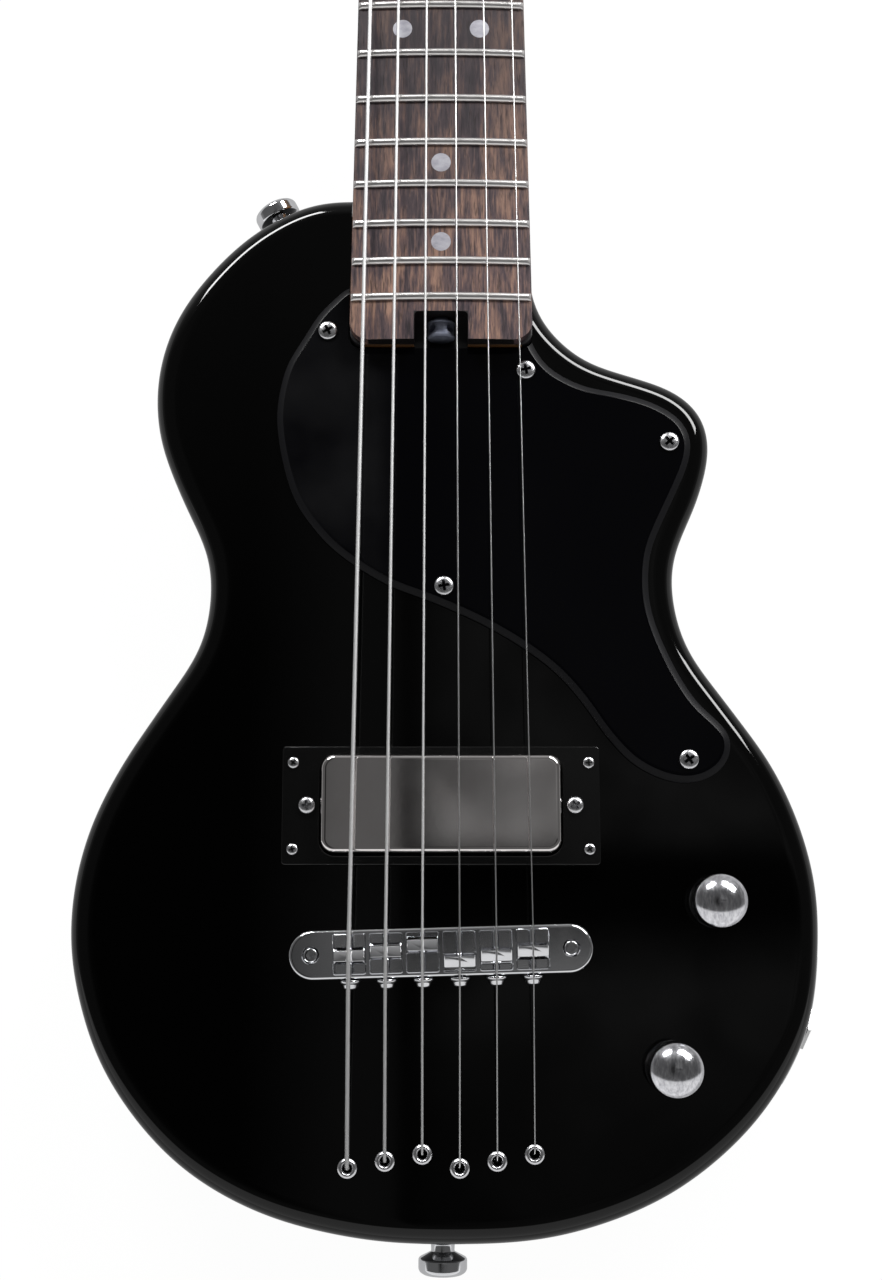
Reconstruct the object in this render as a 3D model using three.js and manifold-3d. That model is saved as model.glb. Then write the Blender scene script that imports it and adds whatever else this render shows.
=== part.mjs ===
// Short-scale travel guitar, solid body, bolt-on neck, six strings through the body.
// Millimetres. +X towards the treble side, +Y towards the head, +Z out of the front.
// The origin is on the flat back, on the centre line, under the end of the string scale.
import * as THREE from 'three';
import { mergeVertices } from 'three/addons/utils/BufferGeometryUtils.js';
import Module from 'manifold-3d';

const wasm = await Module();
wasm.setup();

// Clearances shared by all pieces
const SEAT_GAP = 0.1;
const RUNNING_GAP = 0.3;
const CUT_OVERRUN = 2;
const MERGE_DISTANCE = 0.0001;
const ROUND_SIDES = 16;
const SMALL_SIDES = 12;
const SCREW_SIDES = 8;

// Scale, frets and strings
const SCALE_LENGTH = 546;
const FRETS_PER_OCTAVE = 12;
const LAST_FRET = 18;
const STRING_DIAMETERS = [1.2, 0.95, 0.7, 0.5, 0.42, 0.36];
const STRING_COUNT = STRING_DIAMETERS.length;
const BRIDGE_SPREAD = 52;
const NUT_SPREAD = 37;
const STRING_SIDES = 6;

// Body
const BODY_LENGTH = 313.5;
const BODY_WIDTH = 218;
const BODY_THICKNESS = 40;
const BODY_EDGE_RADIUS = 5;
const BODY_EDGE_STEPS = 3;
const BODY_OUTLINE_STEPS = 132;
const TAIL_SHARE = 0.268;
// Each point: share of half the body's width from the centre line, share of its length from the tail.
const BODY_OUTLINE_SHARES = [
  [-0.35, 1.0], [-0.1, 1.0], [0.12, 0.9995], [0.215, 0.988], [0.247, 0.955], [0.252, 0.92],
  [0.268, 0.892], [0.303, 0.868], [0.407, 0.8345], [0.532, 0.819], [0.655, 0.804], [0.73, 0.782],
  [0.757, 0.75], [0.724, 0.697], [0.65, 0.637], [0.64, 0.605], [0.675, 0.549], [0.788, 0.491],
  [0.901, 0.434], [0.971, 0.378], [1.008, 0.322], [1.01, 0.267], [0.982, 0.199], [0.91, 0.145],
  [0.787, 0.092], [0.582, 0.04], [0.3, 0.0065], [0.0, 0.0], [-0.22, 0.005], [-0.466, 0.026],
  [-0.66, 0.0615], [-0.795, 0.105], [-0.901, 0.158], [-0.961, 0.2115], [-0.992, 0.266],
  [-0.987, 0.321], [-0.948, 0.377], [-0.872, 0.433], [-0.766, 0.4906], [-0.663, 0.5486],
  [-0.638, 0.6], [-0.65, 0.637], [-0.73, 0.697], [-0.794, 0.757], [-0.803, 0.8185],
  [-0.751, 0.88], [-0.616, 0.9435], [-0.492, 0.9786],
];

// Neck and its pocket
const POCKET_DEPTH = 16;
const HEEL_THICKNESS = 20;
const HEEL_LENGTH = 50;
const HEEL_CORNER = 4;
const NECK_WIDTH_AT_NUT = 43;
const NECK_WIDTH_AT_END = 55.7;
const NECK_DEPTH_AT_BODY = 16.7;
const NECK_DEPTH_AT_NUT = 15;
const NECK_SIDE_POINTS = 12;
const NUT_SHELF = 5.5;

// Fretboard
const BOARD_THICKNESS = 5.2;
const BOARD_RADIUS = 305;
const BOARD_TAIL = 13.5;
const BOARD_CORNER = 6.5;
const BOARD_FACETS = 4;
const FRET_HEIGHT = 1.1;
const FRET_WIDTH = 2.4;
const FRET_CROWN_WIDTH = 1.2;
const FRET_SINK = 0.4;
const FRET_END_INSET = 0.3;
const NOTCH_WIDTH = 16.3;
const NOTCH_LENGTH = 8.8;
const NOTCH_DEPTH = 8;

// Truss rod
const ROD_RADIUS = 2.2;
const ROD_DROP = 3;
const ROD_END_MARGIN = 22;
const WHEEL_RADIUS = 4.3;
const WHEEL_LENGTH = 5.6;
const WHEEL_INSET = 1.3;
const WHEEL_HOLE_RADIUS = 1.4;
const WHEEL_HOLE_COUNT = 4;

// Nut
const NUT_LENGTH = 4.6;
const NUT_ABOVE_BOARD = 3;
const NUT_ACTION = 0.4;
const BRIDGE_ACTION = 3.3;

// Headstock
const HEAD_LENGTH = 150;
const HEAD_WIDTH = 74;
const HEAD_THICKNESS = 14;
const HEAD_STEP = 3.5;
const HEAD_OUTLINE_STEPS = 44;
const HEAD_EDGE = 1.5;
// Each point: share of half the head's width, share of its length beyond the nut shelf.
const HEAD_SIDE_SHARES = [
  [0.58, -0.03], [0.6, 0.04], [0.76, 0.12], [0.95, 0.2], [1.0, 0.29], [0.95, 0.5],
  [0.88, 0.78], [0.84, 0.93], [0.62, 0.99], [0.25, 1.0],
];

// Tuners
const TUNER_COUNT_PER_SIDE = 3;
const TUNER_FIRST = 38;
const TUNER_PITCH = 36;
const TUNER_EDGE_MARGIN = 12;
const TUNER_HOUSING_WIDTH = 19;
const TUNER_HOUSING_LENGTH = 18;
const TUNER_HOUSING_DEPTH = 9;
const TUNER_HOUSING_CORNER = 3;
const TUNER_FLOOR = 1.4;
const TUNER_COLLAR_RADIUS = 4.7;
const TUNER_NUT_RADIUS = 7;
const TUNER_NUT_HEIGHT = 2.6;
const TUNER_POST_RADIUS = 3;
const TUNER_POST_RISE = 10.5;
const TUNER_GEAR_TEETH = 15;
const TUNER_GEAR_RADIUS = 5;
const TUNER_TOOTH_DEPTH = 0.7;
const TUNER_GEAR_THICKNESS = 2.6;
const TUNER_WORM_RADIUS = 1.8;
const TUNER_WORM_LENGTH = 8;
const TUNER_SHAFT_RADIUS = 1.7;
const TUNER_SHAFT_REACH = 6;
const TUNER_BUTTON_WIDTH = 17;
const TUNER_BUTTON_LENGTH = 14;
const TUNER_BUTTON_THICKNESS = 6;
const TUNER_BUTTON_CORNER = 5;
const TUNER_BUTTON_EDGE = 1.6;
const STRING_TURNS = 2.25;
const STRING_TURN_STEPS = 12;
const STRING_TURN_GAP = 0.5;

// Bridge
const BRIDGE_LENGTH = 86.4;
const BRIDGE_WIDTH = 13.8;
const BRIDGE_THICKNESS = 6.3;
const BRIDGE_EDGE = 0.6;
const BRIDGE_LIFT = 3.3;
const BRIDGE_SETBACK = 2.3;
const BRIDGE_SLANT = THREE.MathUtils.degToRad(1.6);
const POST_SPACING = 74;
const POST_RADIUS = 4;
const POST_DEPTH = 18;
const POST_COLLAR_RADIUS = 6.2;
const POST_COLLAR_HEIGHT = 1.9;
const POST_TIP_RADIUS = 2.15;
const POST_SOCKET_RADIUS = 1.25;
const POST_SOCKET_DEPTH = 2;
const SADDLE_POCKET_WIDTH = 9;
const SADDLE_POCKET_LENGTH = 11;
const SADDLE_FLOOR = 1.2;
const SADDLE_LENGTH = 4.8;
const SADDLE_CREST = 2.9;
const SADDLE_NOTCH_DEPTH = 0.45;
// Place of each saddle at rest, as a share of half its free travel, towards the head.
const SADDLE_REST_SHARES = [-0.14, 0.18, 0.7, -0.97, -0.5, -0.17];
const SADDLE_SCREW_RADIUS = 1;
const SADDLE_SCREW_HEIGHT = 3.4;
const SADDLE_HEAD_RADIUS = 2.8;
const SADDLE_HEAD_TIP_RADIUS = 1.9;
const SADDLE_HEAD_LENGTH = 2.6;
const SADDLE_SCREW_WALL = 0.9;

// String holes through the body
const FERRULE_ROW = 62.5;
const FERRULE_STEP = 1.9;
const FERRULE_SPREAD = 53;
const FERRULE_RADIUS = 2.7;
const FERRULE_DEPTH = 4;
const REAR_FERRULE_RADIUS = 3.6;
const REAR_FERRULE_DEPTH = 9;
const STRING_HOLE_RADIUS = 1.7;
const BALL_RADIUS = 1.9;
const BALL_LENGTH = 3;
const STRING_EXIT_HEIGHT = 1.2;
const STRING_BEND = 1;

// Pickup
const PICKUP_PLACE = 39.5;
const RING_LENGTH = 92.6;
const RING_WIDTH = 34.4;
const RING_THICKNESS = 3.2;
const RING_CORNER = 1;
const COVER_LENGTH = 69.5;
const COVER_WIDTH = 28;
const COVER_HEIGHT = 17;
const COVER_ABOVE_RING = 4.6;
const COVER_CORNER = 4;
const COVER_EDGE = 1.3;
const COVER_WALL = 0.8;
const COVER_GAP = 0.6;
const COIL_WIDTH = 11;
const COIL_HEIGHT = 12;
const BASE_PLATE_THICKNESS = 1.5;
const PICKUP_EAR_WIDTH = 10;
const HEIGHT_SCREW_SPACING = 78;
const HEIGHT_SCREW_RADIUS = 1.25;
const HEIGHT_SCREW_LENGTH = 22;
const HEIGHT_SCREW_HEAD_RADIUS = 2.5;
const HEIGHT_SCREW_HEAD = 1.5;
const PICKUP_CAVITY_DEPTH = 24;
const PICKUP_CAVITY_MARGIN = 1.5;
const PICKUP_CAVITY_EARS = 86;

// Pickguard
const GUARD_THICKNESS = 2.2;
const GUARD_BEVEL = 1.2;
const GUARD_OUTLINE_STEPS = 96;
const GUARD_SCREW_RADIUS = 1.3;
const GUARD_SCREW_PLACE_SHARES = [
  [-0.318, 0.857], [0.634, 0.7445], [0.008, 0.6025], [0.666, 0.437],
];
const HEEL_SCREW_INSET = 2;
const HEEL_SCREW_REACH = 7.4;
const GUARD_OUTLINE_SHARES = [
  [-0.262, 0.903], [-0.294, 0.893], [-0.342, 0.876], [-0.389, 0.849], [-0.429, 0.825],
  [-0.45, 0.798], [-0.458, 0.772], [-0.45, 0.744], [-0.432, 0.715], [-0.402, 0.686],
  [-0.347, 0.658], [-0.286, 0.636], [-0.15, 0.605], [-0.028, 0.5885], [0.109, 0.567],
  [0.217, 0.545], [0.312, 0.5195], [0.379, 0.493], [0.445, 0.46], [0.511, 0.435],
  [0.559, 0.4245], [0.605, 0.418], [0.66, 0.415], [0.714, 0.419], [0.762, 0.431],
  [0.782, 0.4475], [0.776, 0.462], [0.69, 0.493], [0.626, 0.531], [0.575, 0.579],
  [0.568, 0.6125], [0.579, 0.6395], [0.608, 0.664], [0.655, 0.6985], [0.687, 0.7255],
  [0.6945, 0.7485], [0.668, 0.7675], [0.597, 0.784], [0.507, 0.794], [0.399, 0.802],
  [0.305, 0.82], [0.262, 0.8405], [0.23, 0.865], [0.0, 0.9],
];

// Controls and jack
const VOLUME_PLACE_SHARES = [0.731, 0.3062];
const TONE_PLACE_SHARES = [0.605, 0.1567];
const KNOB_RADIUS = 7.65;
const KNOB_SKIRT = 9.2;
const KNOB_HEIGHT = 12.5;
const KNOB_LIFT = 1;
const KNOB_SHAFT_RADIUS = 2.4;
const KNOB_HOLLOW_RADIUS = 6.2;
const KNOB_HOLLOW_DEPTH = 3;
const KNOB_DOME_STEPS = 4;
const POT_RADIUS = 8.5;
const POT_HEIGHT = 9;
const POT_BUSHING_RADIUS = 3.5;
const POT_BUSHING_RISE = 2.5;
const CONTROL_CEILING = 5;
const CONTROL_COVER_THICKNESS = 2.2;
const CONTROL_COVER_LIP = 4;
const CAVITY_OUTLINE_STEPS = 40;
const CAVITY_OUTLINE_SHARES = [
  [0.56, 0.35], [0.78, 0.366], [0.885, 0.32], [0.9, 0.25], [0.84, 0.178], [0.72, 0.118],
  [0.585, 0.1], [0.49, 0.13], [0.47, 0.2], [0.5, 0.29],
];
const WIRE_CHANNEL_RADIUS = 3.5;
const JACK_PLACE_SHARE = 0.1935;
const JACK_HEIGHT_SHARE = 0.5;
const JACK_PLATE_LENGTH = 37;
const JACK_PLATE_HEIGHT = 18;
const JACK_PLATE_THICKNESS = 1.2;
const JACK_PLATE_STEPS = 8;
const JACK_BUSHING_RADIUS = 4.7;
const JACK_BORE_RADIUS = 3.25;
const JACK_LENGTH = 24;
const JACK_BARREL_RADIUS = 6.2;
const JACK_BARREL_LENGTH = 11;
const JACK_NUT_RADIUS = 7;
const JACK_NUT_HEIGHT = 0.9;

// Strap buttons
const STRAP_BUTTON_LENGTH = 12.5;
const STRAP_CAP_RADIUS = 7.1;
const STRAP_CAP_THICKNESS = 4.4;
const STRAP_CONE_HEIGHT = 2;
const STRAP_STEM_RADIUS = 3.4;
const STRAP_FOOT_RADIUS = 5;
const TAIL_BUTTON_SHARE = 0.002;
const HORN_BUTTON_SHARES = [-0.459, 0.9885];
const STRAP_HEIGHT_SHARE = 0.5;

// Neck plate
const NECK_PLATE_WIDTH = 44;
const NECK_PLATE_LENGTH = 36;
const NECK_PLATE_THICKNESS = 2;
const NECK_PLATE_CORNER = 3;
const NECK_SCREW_RADIUS = 2;
const NECK_SCREW_INSET = 6;
const NECK_SCREW_REACH = 12;
const NECK_SCREW_HEAD_SINK = 0.6;

// Solid work on closed meshes
function solidOf(geometry) {
  const bare = geometry.clone();
  bare.deleteAttribute('normal');
  bare.deleteAttribute('uv');
  const merged = mergeVertices(bare, MERGE_DISTANCE);
  const kept = [];
  const index = merged.index.array;
  for (let corner = 0; corner < index.length; corner += 3) {
    const [a, b, c] = [index[corner], index[corner + 1], index[corner + 2]];
    if (a !== b && b !== c && c !== a) {
      kept.push(a, b, c);
    }
  }
  return new wasm.Manifold(new wasm.Mesh({
    numProp: 3,
    vertProperties: new Float32Array(merged.attributes.position.array),
    triVerts: new Uint32Array(kept),
  }));
}

function geometryOf(solid) {
  const mesh = solid.getMesh();
  const geometry = new THREE.BufferGeometry();
  geometry.setAttribute('position', new THREE.BufferAttribute(mesh.vertProperties, mesh.numProp));
  geometry.setIndex(new THREE.BufferAttribute(mesh.triVerts, 1));
  const faceted = geometry.toNonIndexed();
  faceted.computeVertexNormals();
  return faceted;
}

function join(...geometries) {
  return geometryOf(geometries.map(solidOf).reduce((whole, piece) => whole.add(piece)));
}

function cut(geometry, ...tools) {
  return geometryOf(tools.map(solidOf).reduce((whole, tool) => whole.subtract(tool), solidOf(geometry)));
}

// Rings of equal count, stacked along one axis, closed into one skin with a lid at each end.
const FLATTEN = {
  x: (point) => new THREE.Vector2(point.y, point.z),
  y: (point) => new THREE.Vector2(point.z, point.x),
  z: (point) => new THREE.Vector2(point.x, point.y),
};

function skinOf(rings, axis) {
  const flat = rings.map((ring) => ring.map(FLATTEN[axis]));
  const ordered = rings.map((ring) => [...ring]);
  if (THREE.ShapeUtils.area(flat[0]) < 0) {
    ordered.forEach((ring) => ring.reverse());
    flat.forEach((ring) => ring.reverse());
  }
  const count = ordered[0].length;
  const last = (ordered.length - 1) * count;
  const index = [];
  for (let ring = 0; ring + 1 < ordered.length; ring += 1) {
    for (let side = 0; side < count; side += 1) {
      const near = ring * count + side;
      const nearNext = ring * count + (side + 1) % count;
      index.push(near, nearNext, nearNext + count, near, nearNext + count, near + count);
    }
  }
  for (const [a, b, c] of THREE.ShapeUtils.triangulateShape(flat[0], [])) {
    index.push(c, b, a);
  }
  for (const [a, b, c] of THREE.ShapeUtils.triangulateShape(flat[flat.length - 1], [])) {
    index.push(last + a, last + b, last + c);
  }
  const geometry = new THREE.BufferGeometry();
  const values = ordered.flat().flatMap((point) => [point.x, point.y, point.z]);
  geometry.setAttribute('position', new THREE.BufferAttribute(new Float32Array(values), 3));
  geometry.setIndex(index);
  const faceted = geometry.toNonIndexed();
  faceted.computeVertexNormals();
  return faceted;
}

// Moves each point of a closed outline inwards, square to the outline.
function inset(outline, distance) {
  const inwards = THREE.ShapeUtils.area(outline) > 0 ? 1 : -1;
  return outline.map((point, place) => {
    const before = outline[(place + outline.length - 1) % outline.length];
    const after = outline[(place + 1) % outline.length];
    const arriving = point.clone().sub(before).normalize();
    const leaving = after.clone().sub(point).normalize();
    const along = arriving.clone().add(leaving).normalize();
    const across = new THREE.Vector2(-along.y, along.x).multiplyScalar(inwards);
    const mitre = distance / Math.max(along.dot(leaving), Math.SQRT1_2);
    return point.clone().addScaledVector(across, mitre);
  });
}

// A plate or block from an outline: each level is an inset and a height.
function layered(outline, levels) {
  const rings = levels.map(([distance, height]) => (
    inset(outline, distance).map((point) => new THREE.Vector3(point.x, point.y, height))));
  return skinOf(rings, 'z');
}

function plate(outline, bottom, top) {
  return layered(outline, [[0, bottom], [0, top]]);
}

function roundedRectangle(width, length, corner, steps = 3) {
  const points = [];
  const quarters = [[1, 1], [-1, 1], [-1, -1], [1, -1]];
  quarters.forEach(([across, along], quarter) => {
    for (let step = 0; step <= steps; step += 1) {
      const angle = (quarter + step / steps) * Math.PI / 2;
      points.push(new THREE.Vector2(
        across * (width / 2 - corner) + corner * Math.cos(angle),
        along * (length / 2 - corner) + corner * Math.sin(angle),
      ));
    }
  });
  return points;
}

function moved(outline, x, y) {
  return outline.map((point) => new THREE.Vector2(point.x + x, point.y + y));
}

function closedOutline(points, steps) {
  const route = points.map((point) => new THREE.Vector3(point.x, point.y, 0));
  const curve = new THREE.CatmullRomCurve3(route, true, 'centripetal');
  return curve.getSpacedPoints(steps).slice(0, steps).map((point) => new THREE.Vector2(point.x, point.y));
}

// Upright post between two heights.
function post(x, y, bottom, top, radius, sides = ROUND_SIDES) {
  const geometry = new THREE.CylinderGeometry(radius, radius, top - bottom, sides);
  geometry.rotateX(Math.PI / 2);
  geometry.translate(x, y, (bottom + top) / 2);
  return geometry;
}

function block(x0, x1, y0, y1, z0, z1) {
  const geometry = new THREE.BoxGeometry(x1 - x0, y1 - y0, z1 - z0);
  geometry.translate((x0 + x1) / 2, (y0 + y1) / 2, (z0 + z1) / 2);
  return geometry;
}

// A turned piece whose axis points from a place along a direction.
function turned(profile, place, direction, sides = ROUND_SIDES) {
  const geometry = new THREE.LatheGeometry(profile.map(([r, h]) => new THREE.Vector2(r, h)), sides);
  geometry.applyQuaternion(new THREE.Quaternion().setFromUnitVectors(
    new THREE.Vector3(0, 1, 0),
    direction.clone().normalize(),
  ));
  geometry.translate(place.x, place.y, place.z);
  return geometry;
}

function placeOf([acrossShare, alongShare]) {
  return new THREE.Vector2(acrossShare * BODY_WIDTH / 2, (alongShare - TAIL_SHARE) * BODY_LENGTH);
}

// Heights and places that several pieces share
const bodyTop = BODY_THICKNESS;
const pocketFloor = bodyTop - POCKET_DEPTH;
const heelBottom = pocketFloor + SEAT_GAP;
const boardSeat = heelBottom + HEEL_THICKNESS;
const boardBottom = boardSeat + SEAT_GAP;
const boardTop = boardBottom + BOARD_THICKNESS;
const boardEnd = fretPlace(LAST_FRET) - BOARD_TAIL;
const headStart = SCALE_LENGTH + NUT_SHELF;
const headFace = boardSeat - HEAD_STEP;
const headBack = headFace - HEAD_THICKNESS;
const stringUnderNut = boardTop + FRET_HEIGHT + NUT_ACTION;
const stringUnderBridge = boardTop + FRET_HEIGHT + BRIDGE_ACTION;
const wheelPlace = boardEnd + WHEEL_INSET;
const rodHeight = boardSeat - ROD_DROP;
const bodyOutline = closedOutline(BODY_OUTLINE_SHARES.map(placeOf), BODY_OUTLINE_STEPS);
const bridgeBottom = bodyTop + BRIDGE_LIFT;
const bridgeTop = bridgeBottom + BRIDGE_THICKNESS;
const saddleScrewZ = bridgeBottom + SADDLE_SCREW_HEIGHT;

function fretPlace(fret) {
  return SCALE_LENGTH * 2 ** (-fret / FRETS_PER_OCTAVE);
}

function boardHalfWidth(y) {
  const share = (y - boardEnd) / (SCALE_LENGTH - boardEnd);
  return THREE.MathUtils.lerp(NECK_WIDTH_AT_END, NECK_WIDTH_AT_NUT, share) / 2;
}

function crownDrop(x) {
  return BOARD_RADIUS - Math.sqrt(BOARD_RADIUS ** 2 - x ** 2);
}

function stringShare(number) {
  return number / (STRING_COUNT - 1) - 1 / 2;
}

function stringX(number, y) {
  return stringShare(number) * THREE.MathUtils.lerp(BRIDGE_SPREAD, NUT_SPREAD, y / SCALE_LENGTH);
}

// Height of the underside of a string above the back of the body.
function stringUnder(number, y) {
  const plane = THREE.MathUtils.lerp(stringUnderBridge, stringUnderNut, y / SCALE_LENGTH);
  return plane - crownDrop(stringX(number, y));
}

const materials = {
  lacquer: { color: 0x050505, roughness: 0.12, metalness: 0 },
  guard: { color: 0x0a0a0b, roughness: 0.3, metalness: 0 },
  maple: { color: 0xb98a4e, roughness: 0.35, metalness: 0 },
  rosewood: { color: 0x4d332b, roughness: 0.6, metalness: 0 },
  chrome: { color: 0xc9c9cc, roughness: 0.12, metalness: 1 },
  nickel: { color: 0x9b9690, roughness: 0.2, metalness: 1 },
  steel: { color: 0xb4b4b6, roughness: 0.3, metalness: 1 },
  darkSteel: { color: 0x4a4c55, roughness: 0.4, metalness: 1 },
  bone: { color: 0xe6e0cf, roughness: 0.5, metalness: 0 },
  plastic: { color: 0x111112, roughness: 0.45, metalness: 0 },
};

function piece(name, geometry, look) {
  const mesh = new THREE.Mesh(geometry, new THREE.MeshStandardMaterial(materials[look]));
  mesh.name = name;
  return mesh;
}

const guitar = new THREE.Group();

// Tuner places: three a side, each on the line of the head's edge
const tunerPlaces = [];
for (let number = 0; number < STRING_COUNT; number += 1) {
  const side = number < TUNER_COUNT_PER_SIDE ? -1 : 1;
  const step = side < 0 ? number : STRING_COUNT - 1 - number;
  const y = headStart + TUNER_FIRST + step * TUNER_PITCH;
  const edgeShare = headEdgeShare((y - headStart) / HEAD_LENGTH);
  tunerPlaces.push({ side, y, x: side * (edgeShare * HEAD_WIDTH / 2 - TUNER_EDGE_MARGIN) });
}

function headEdgeShare(alongShare) {
  const after = HEAD_SIDE_SHARES.findIndex(([, along]) => along > alongShare);
  const [wideB, alongB] = HEAD_SIDE_SHARES[after];
  const [wideA, alongA] = HEAD_SIDE_SHARES[after - 1];
  return THREE.MathUtils.lerp(wideA, wideB, (alongShare - alongA) / (alongB - alongA));
}

// String ends: a hole through the body for each, and a saddle crest on the bridge
const ferrulePlaces = STRING_DIAMETERS.map((diameter, number) => new THREE.Vector2(
  stringShare(number) * FERRULE_SPREAD,
  -FERRULE_ROW + FERRULE_STEP * (number % TUNER_COUNT_PER_SIDE),
));
const saddleTravel = (SADDLE_POCKET_LENGTH - SADDLE_LENGTH) / 2 - RUNNING_GAP / 2;
const bridgePlace = new THREE.Vector3(0, -BRIDGE_SETBACK, 0);
const saddles = STRING_DIAMETERS.map((diameter, number) => {
  const x = stringShare(number) * BRIDGE_SPREAD;
  const y = SADDLE_REST_SHARES[number] * saddleTravel;
  const crest = new THREE.Vector3(x, y, 0)
    .applyAxisAngle(new THREE.Vector3(0, 0, 1), BRIDGE_SLANT)
    .add(bridgePlace);
  return { x, y, crest, top: stringUnder(number, crest.y) - RUNNING_GAP };
});

function bodyPiece() {
  const bevel = [];
  for (let step = 0; step <= BODY_EDGE_STEPS; step += 1) {
    const angle = (step / BODY_EDGE_STEPS) * Math.PI / 2;
    bevel.push([BODY_EDGE_RADIUS * (1 - Math.sin(angle)), BODY_EDGE_RADIUS * (1 - Math.cos(angle))]);
  }
  const upper = [...bevel].reverse().map(([distance, height]) => [distance, bodyTop - height]);
  const blank = layered(bodyOutline, [...bevel, ...upper]);

  const pocketGap = SEAT_GAP * 2;
  const heel = heelOutline(pocketGap);
  const pocket = plate(heel, pocketFloor, bodyTop + CUT_OVERRUN);

  const cavityWidth = COVER_WIDTH + 2 * PICKUP_CAVITY_MARGIN;
  const cavityLength = COVER_LENGTH + 2 * PICKUP_CAVITY_MARGIN;
  const pickupFloor = bodyTop - PICKUP_CAVITY_DEPTH;
  const pickupRoom = plate(
    moved(roundedRectangle(cavityLength, cavityWidth, COVER_CORNER), 0, PICKUP_PLACE),
    pickupFloor,
    bodyTop + CUT_OVERRUN,
  );
  const earRoom = plate(
    moved(roundedRectangle(PICKUP_CAVITY_EARS, PICKUP_EAR_WIDTH + 2 * PICKUP_CAVITY_MARGIN, COVER_CORNER),
      0, PICKUP_PLACE),
    pickupFloor,
    bodyTop + CUT_OVERRUN,
  );

  const controlRoom = plate(cavityOutline, -CUT_OVERRUN, bodyTop - CONTROL_CEILING);
  const controlRecess = plate(
    inset(cavityOutline, -CONTROL_COVER_LIP),
    -CUT_OVERRUN,
    CONTROL_COVER_THICKNESS + SEAT_GAP,
  );
  const potHoles = [VOLUME_PLACE_SHARES, TONE_PLACE_SHARES].map(placeOf).map((place) => (
    post(place.x, place.y, pocketFloor, bodyTop + CUT_OVERRUN, POT_BUSHING_RADIUS + RUNNING_GAP)));

  const channelStart = new THREE.Vector3(cavityLength / 4, PICKUP_PLACE, pocketFloor);
  const channelEnd = new THREE.Vector3(...placeOf(VOLUME_PLACE_SHARES).toArray(), pocketFloor);
  const channelRun = channelEnd.clone().sub(channelStart);
  const wireChannel = turned(
    [[0, 0], [WIRE_CHANNEL_RADIUS, 0], [WIRE_CHANNEL_RADIUS, channelRun.length()], [0, channelRun.length()]],
    channelStart,
    channelRun,
    SCREW_SIDES,
  );

  const stringHoles = ferrulePlaces.flatMap((place) => [
    post(place.x, place.y, -CUT_OVERRUN, bodyTop + CUT_OVERRUN, STRING_HOLE_RADIUS, SCREW_SIDES),
    post(place.x, place.y, -CUT_OVERRUN, REAR_FERRULE_DEPTH, REAR_FERRULE_RADIUS, SMALL_SIDES),
    post(place.x, place.y, bodyTop - FERRULE_DEPTH, bodyTop + CUT_OVERRUN, FERRULE_RADIUS, SMALL_SIDES),
  ]);
  const postHoles = postPlaces.map((place) => post(
    place.x,
    place.y,
    bodyTop - POST_DEPTH - CUT_OVERRUN,
    bodyTop + CUT_OVERRUN,
    POST_RADIUS + 2 * RUNNING_GAP,
  ));

  const plateRecess = plate(
    moved(roundedRectangle(NECK_PLATE_WIDTH + 2 * SEAT_GAP, NECK_PLATE_LENGTH + 2 * SEAT_GAP,
      NECK_PLATE_CORNER), 0, neckPlateY),
    -CUT_OVERRUN,
    NECK_PLATE_THICKNESS + 2 * SEAT_GAP,
  );
  const neckScrewHoles = neckScrewPlaces.map((place) => (
    post(place.x, place.y, -CUT_OVERRUN, bodyTop, NECK_SCREW_RADIUS + 2 * RUNNING_GAP, SCREW_SIDES)));

  const jackHole = turned(
    [[0, -CUT_OVERRUN], [JACK_BUSHING_RADIUS + RUNNING_GAP, -CUT_OVERRUN],
      [JACK_BUSHING_RADIUS + RUNNING_GAP, JACK_LENGTH], [0, JACK_LENGTH]],
    jackFoot,
    jackDirection.clone().negate(),
  );
  const jackRoom = turned(
    [[0, JACK_LENGTH - JACK_BARREL_LENGTH - RUNNING_GAP],
      [JACK_BARREL_RADIUS + RUNNING_GAP, JACK_LENGTH - JACK_BARREL_LENGTH - RUNNING_GAP],
      [JACK_BARREL_RADIUS + RUNNING_GAP, JACK_LENGTH + JACK_BARREL_LENGTH],
      [0, JACK_LENGTH + JACK_BARREL_LENGTH]],
    jackFoot,
    jackDirection.clone().negate(),
  );
  return piece('body', cut(
    blank, pocket, pickupRoom, earRoom, controlRoom, controlRecess, ...potHoles, wireChannel,
    ...stringHoles, ...postHoles, plateRecess, ...neckScrewHoles, jackHole, jackRoom,
  ), 'lacquer');
}

// Plan of the neck's heel, grown by a gap all round.
function heelOutline(gap) {
  const halfEnd = NECK_WIDTH_AT_END / 2 + gap;
  const start = boardEnd - gap;
  const finish = boardEnd + HEEL_LENGTH;
  const halfFinish = boardHalfWidth(finish) + gap;
  const reach = gap > 0 ? BODY_LENGTH : 0;
  const corner = HEEL_CORNER;
  const cornerSteps = 3;
  const points = [
    new THREE.Vector2(halfFinish, finish + reach),
    new THREE.Vector2(-halfFinish, finish + reach),
  ];
  for (let step = 0; step <= cornerSteps; step += 1) {
    const angle = Math.PI + (step / cornerSteps) * Math.PI / 2;
    points.push(new THREE.Vector2(
      -halfEnd + corner + corner * Math.cos(angle),
      start + corner + corner * Math.sin(angle),
    ));
  }
  for (let step = 0; step <= cornerSteps; step += 1) {
    const angle = (3 / 2 + step / cornerSteps / 2) * Math.PI;
    points.push(new THREE.Vector2(
      halfEnd - corner + corner * Math.cos(angle),
      start + corner + corner * Math.sin(angle),
    ));
  }
  return points;
}

const cavityOutline = closedOutline(CAVITY_OUTLINE_SHARES.map(placeOf), CAVITY_OUTLINE_STEPS);

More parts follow.
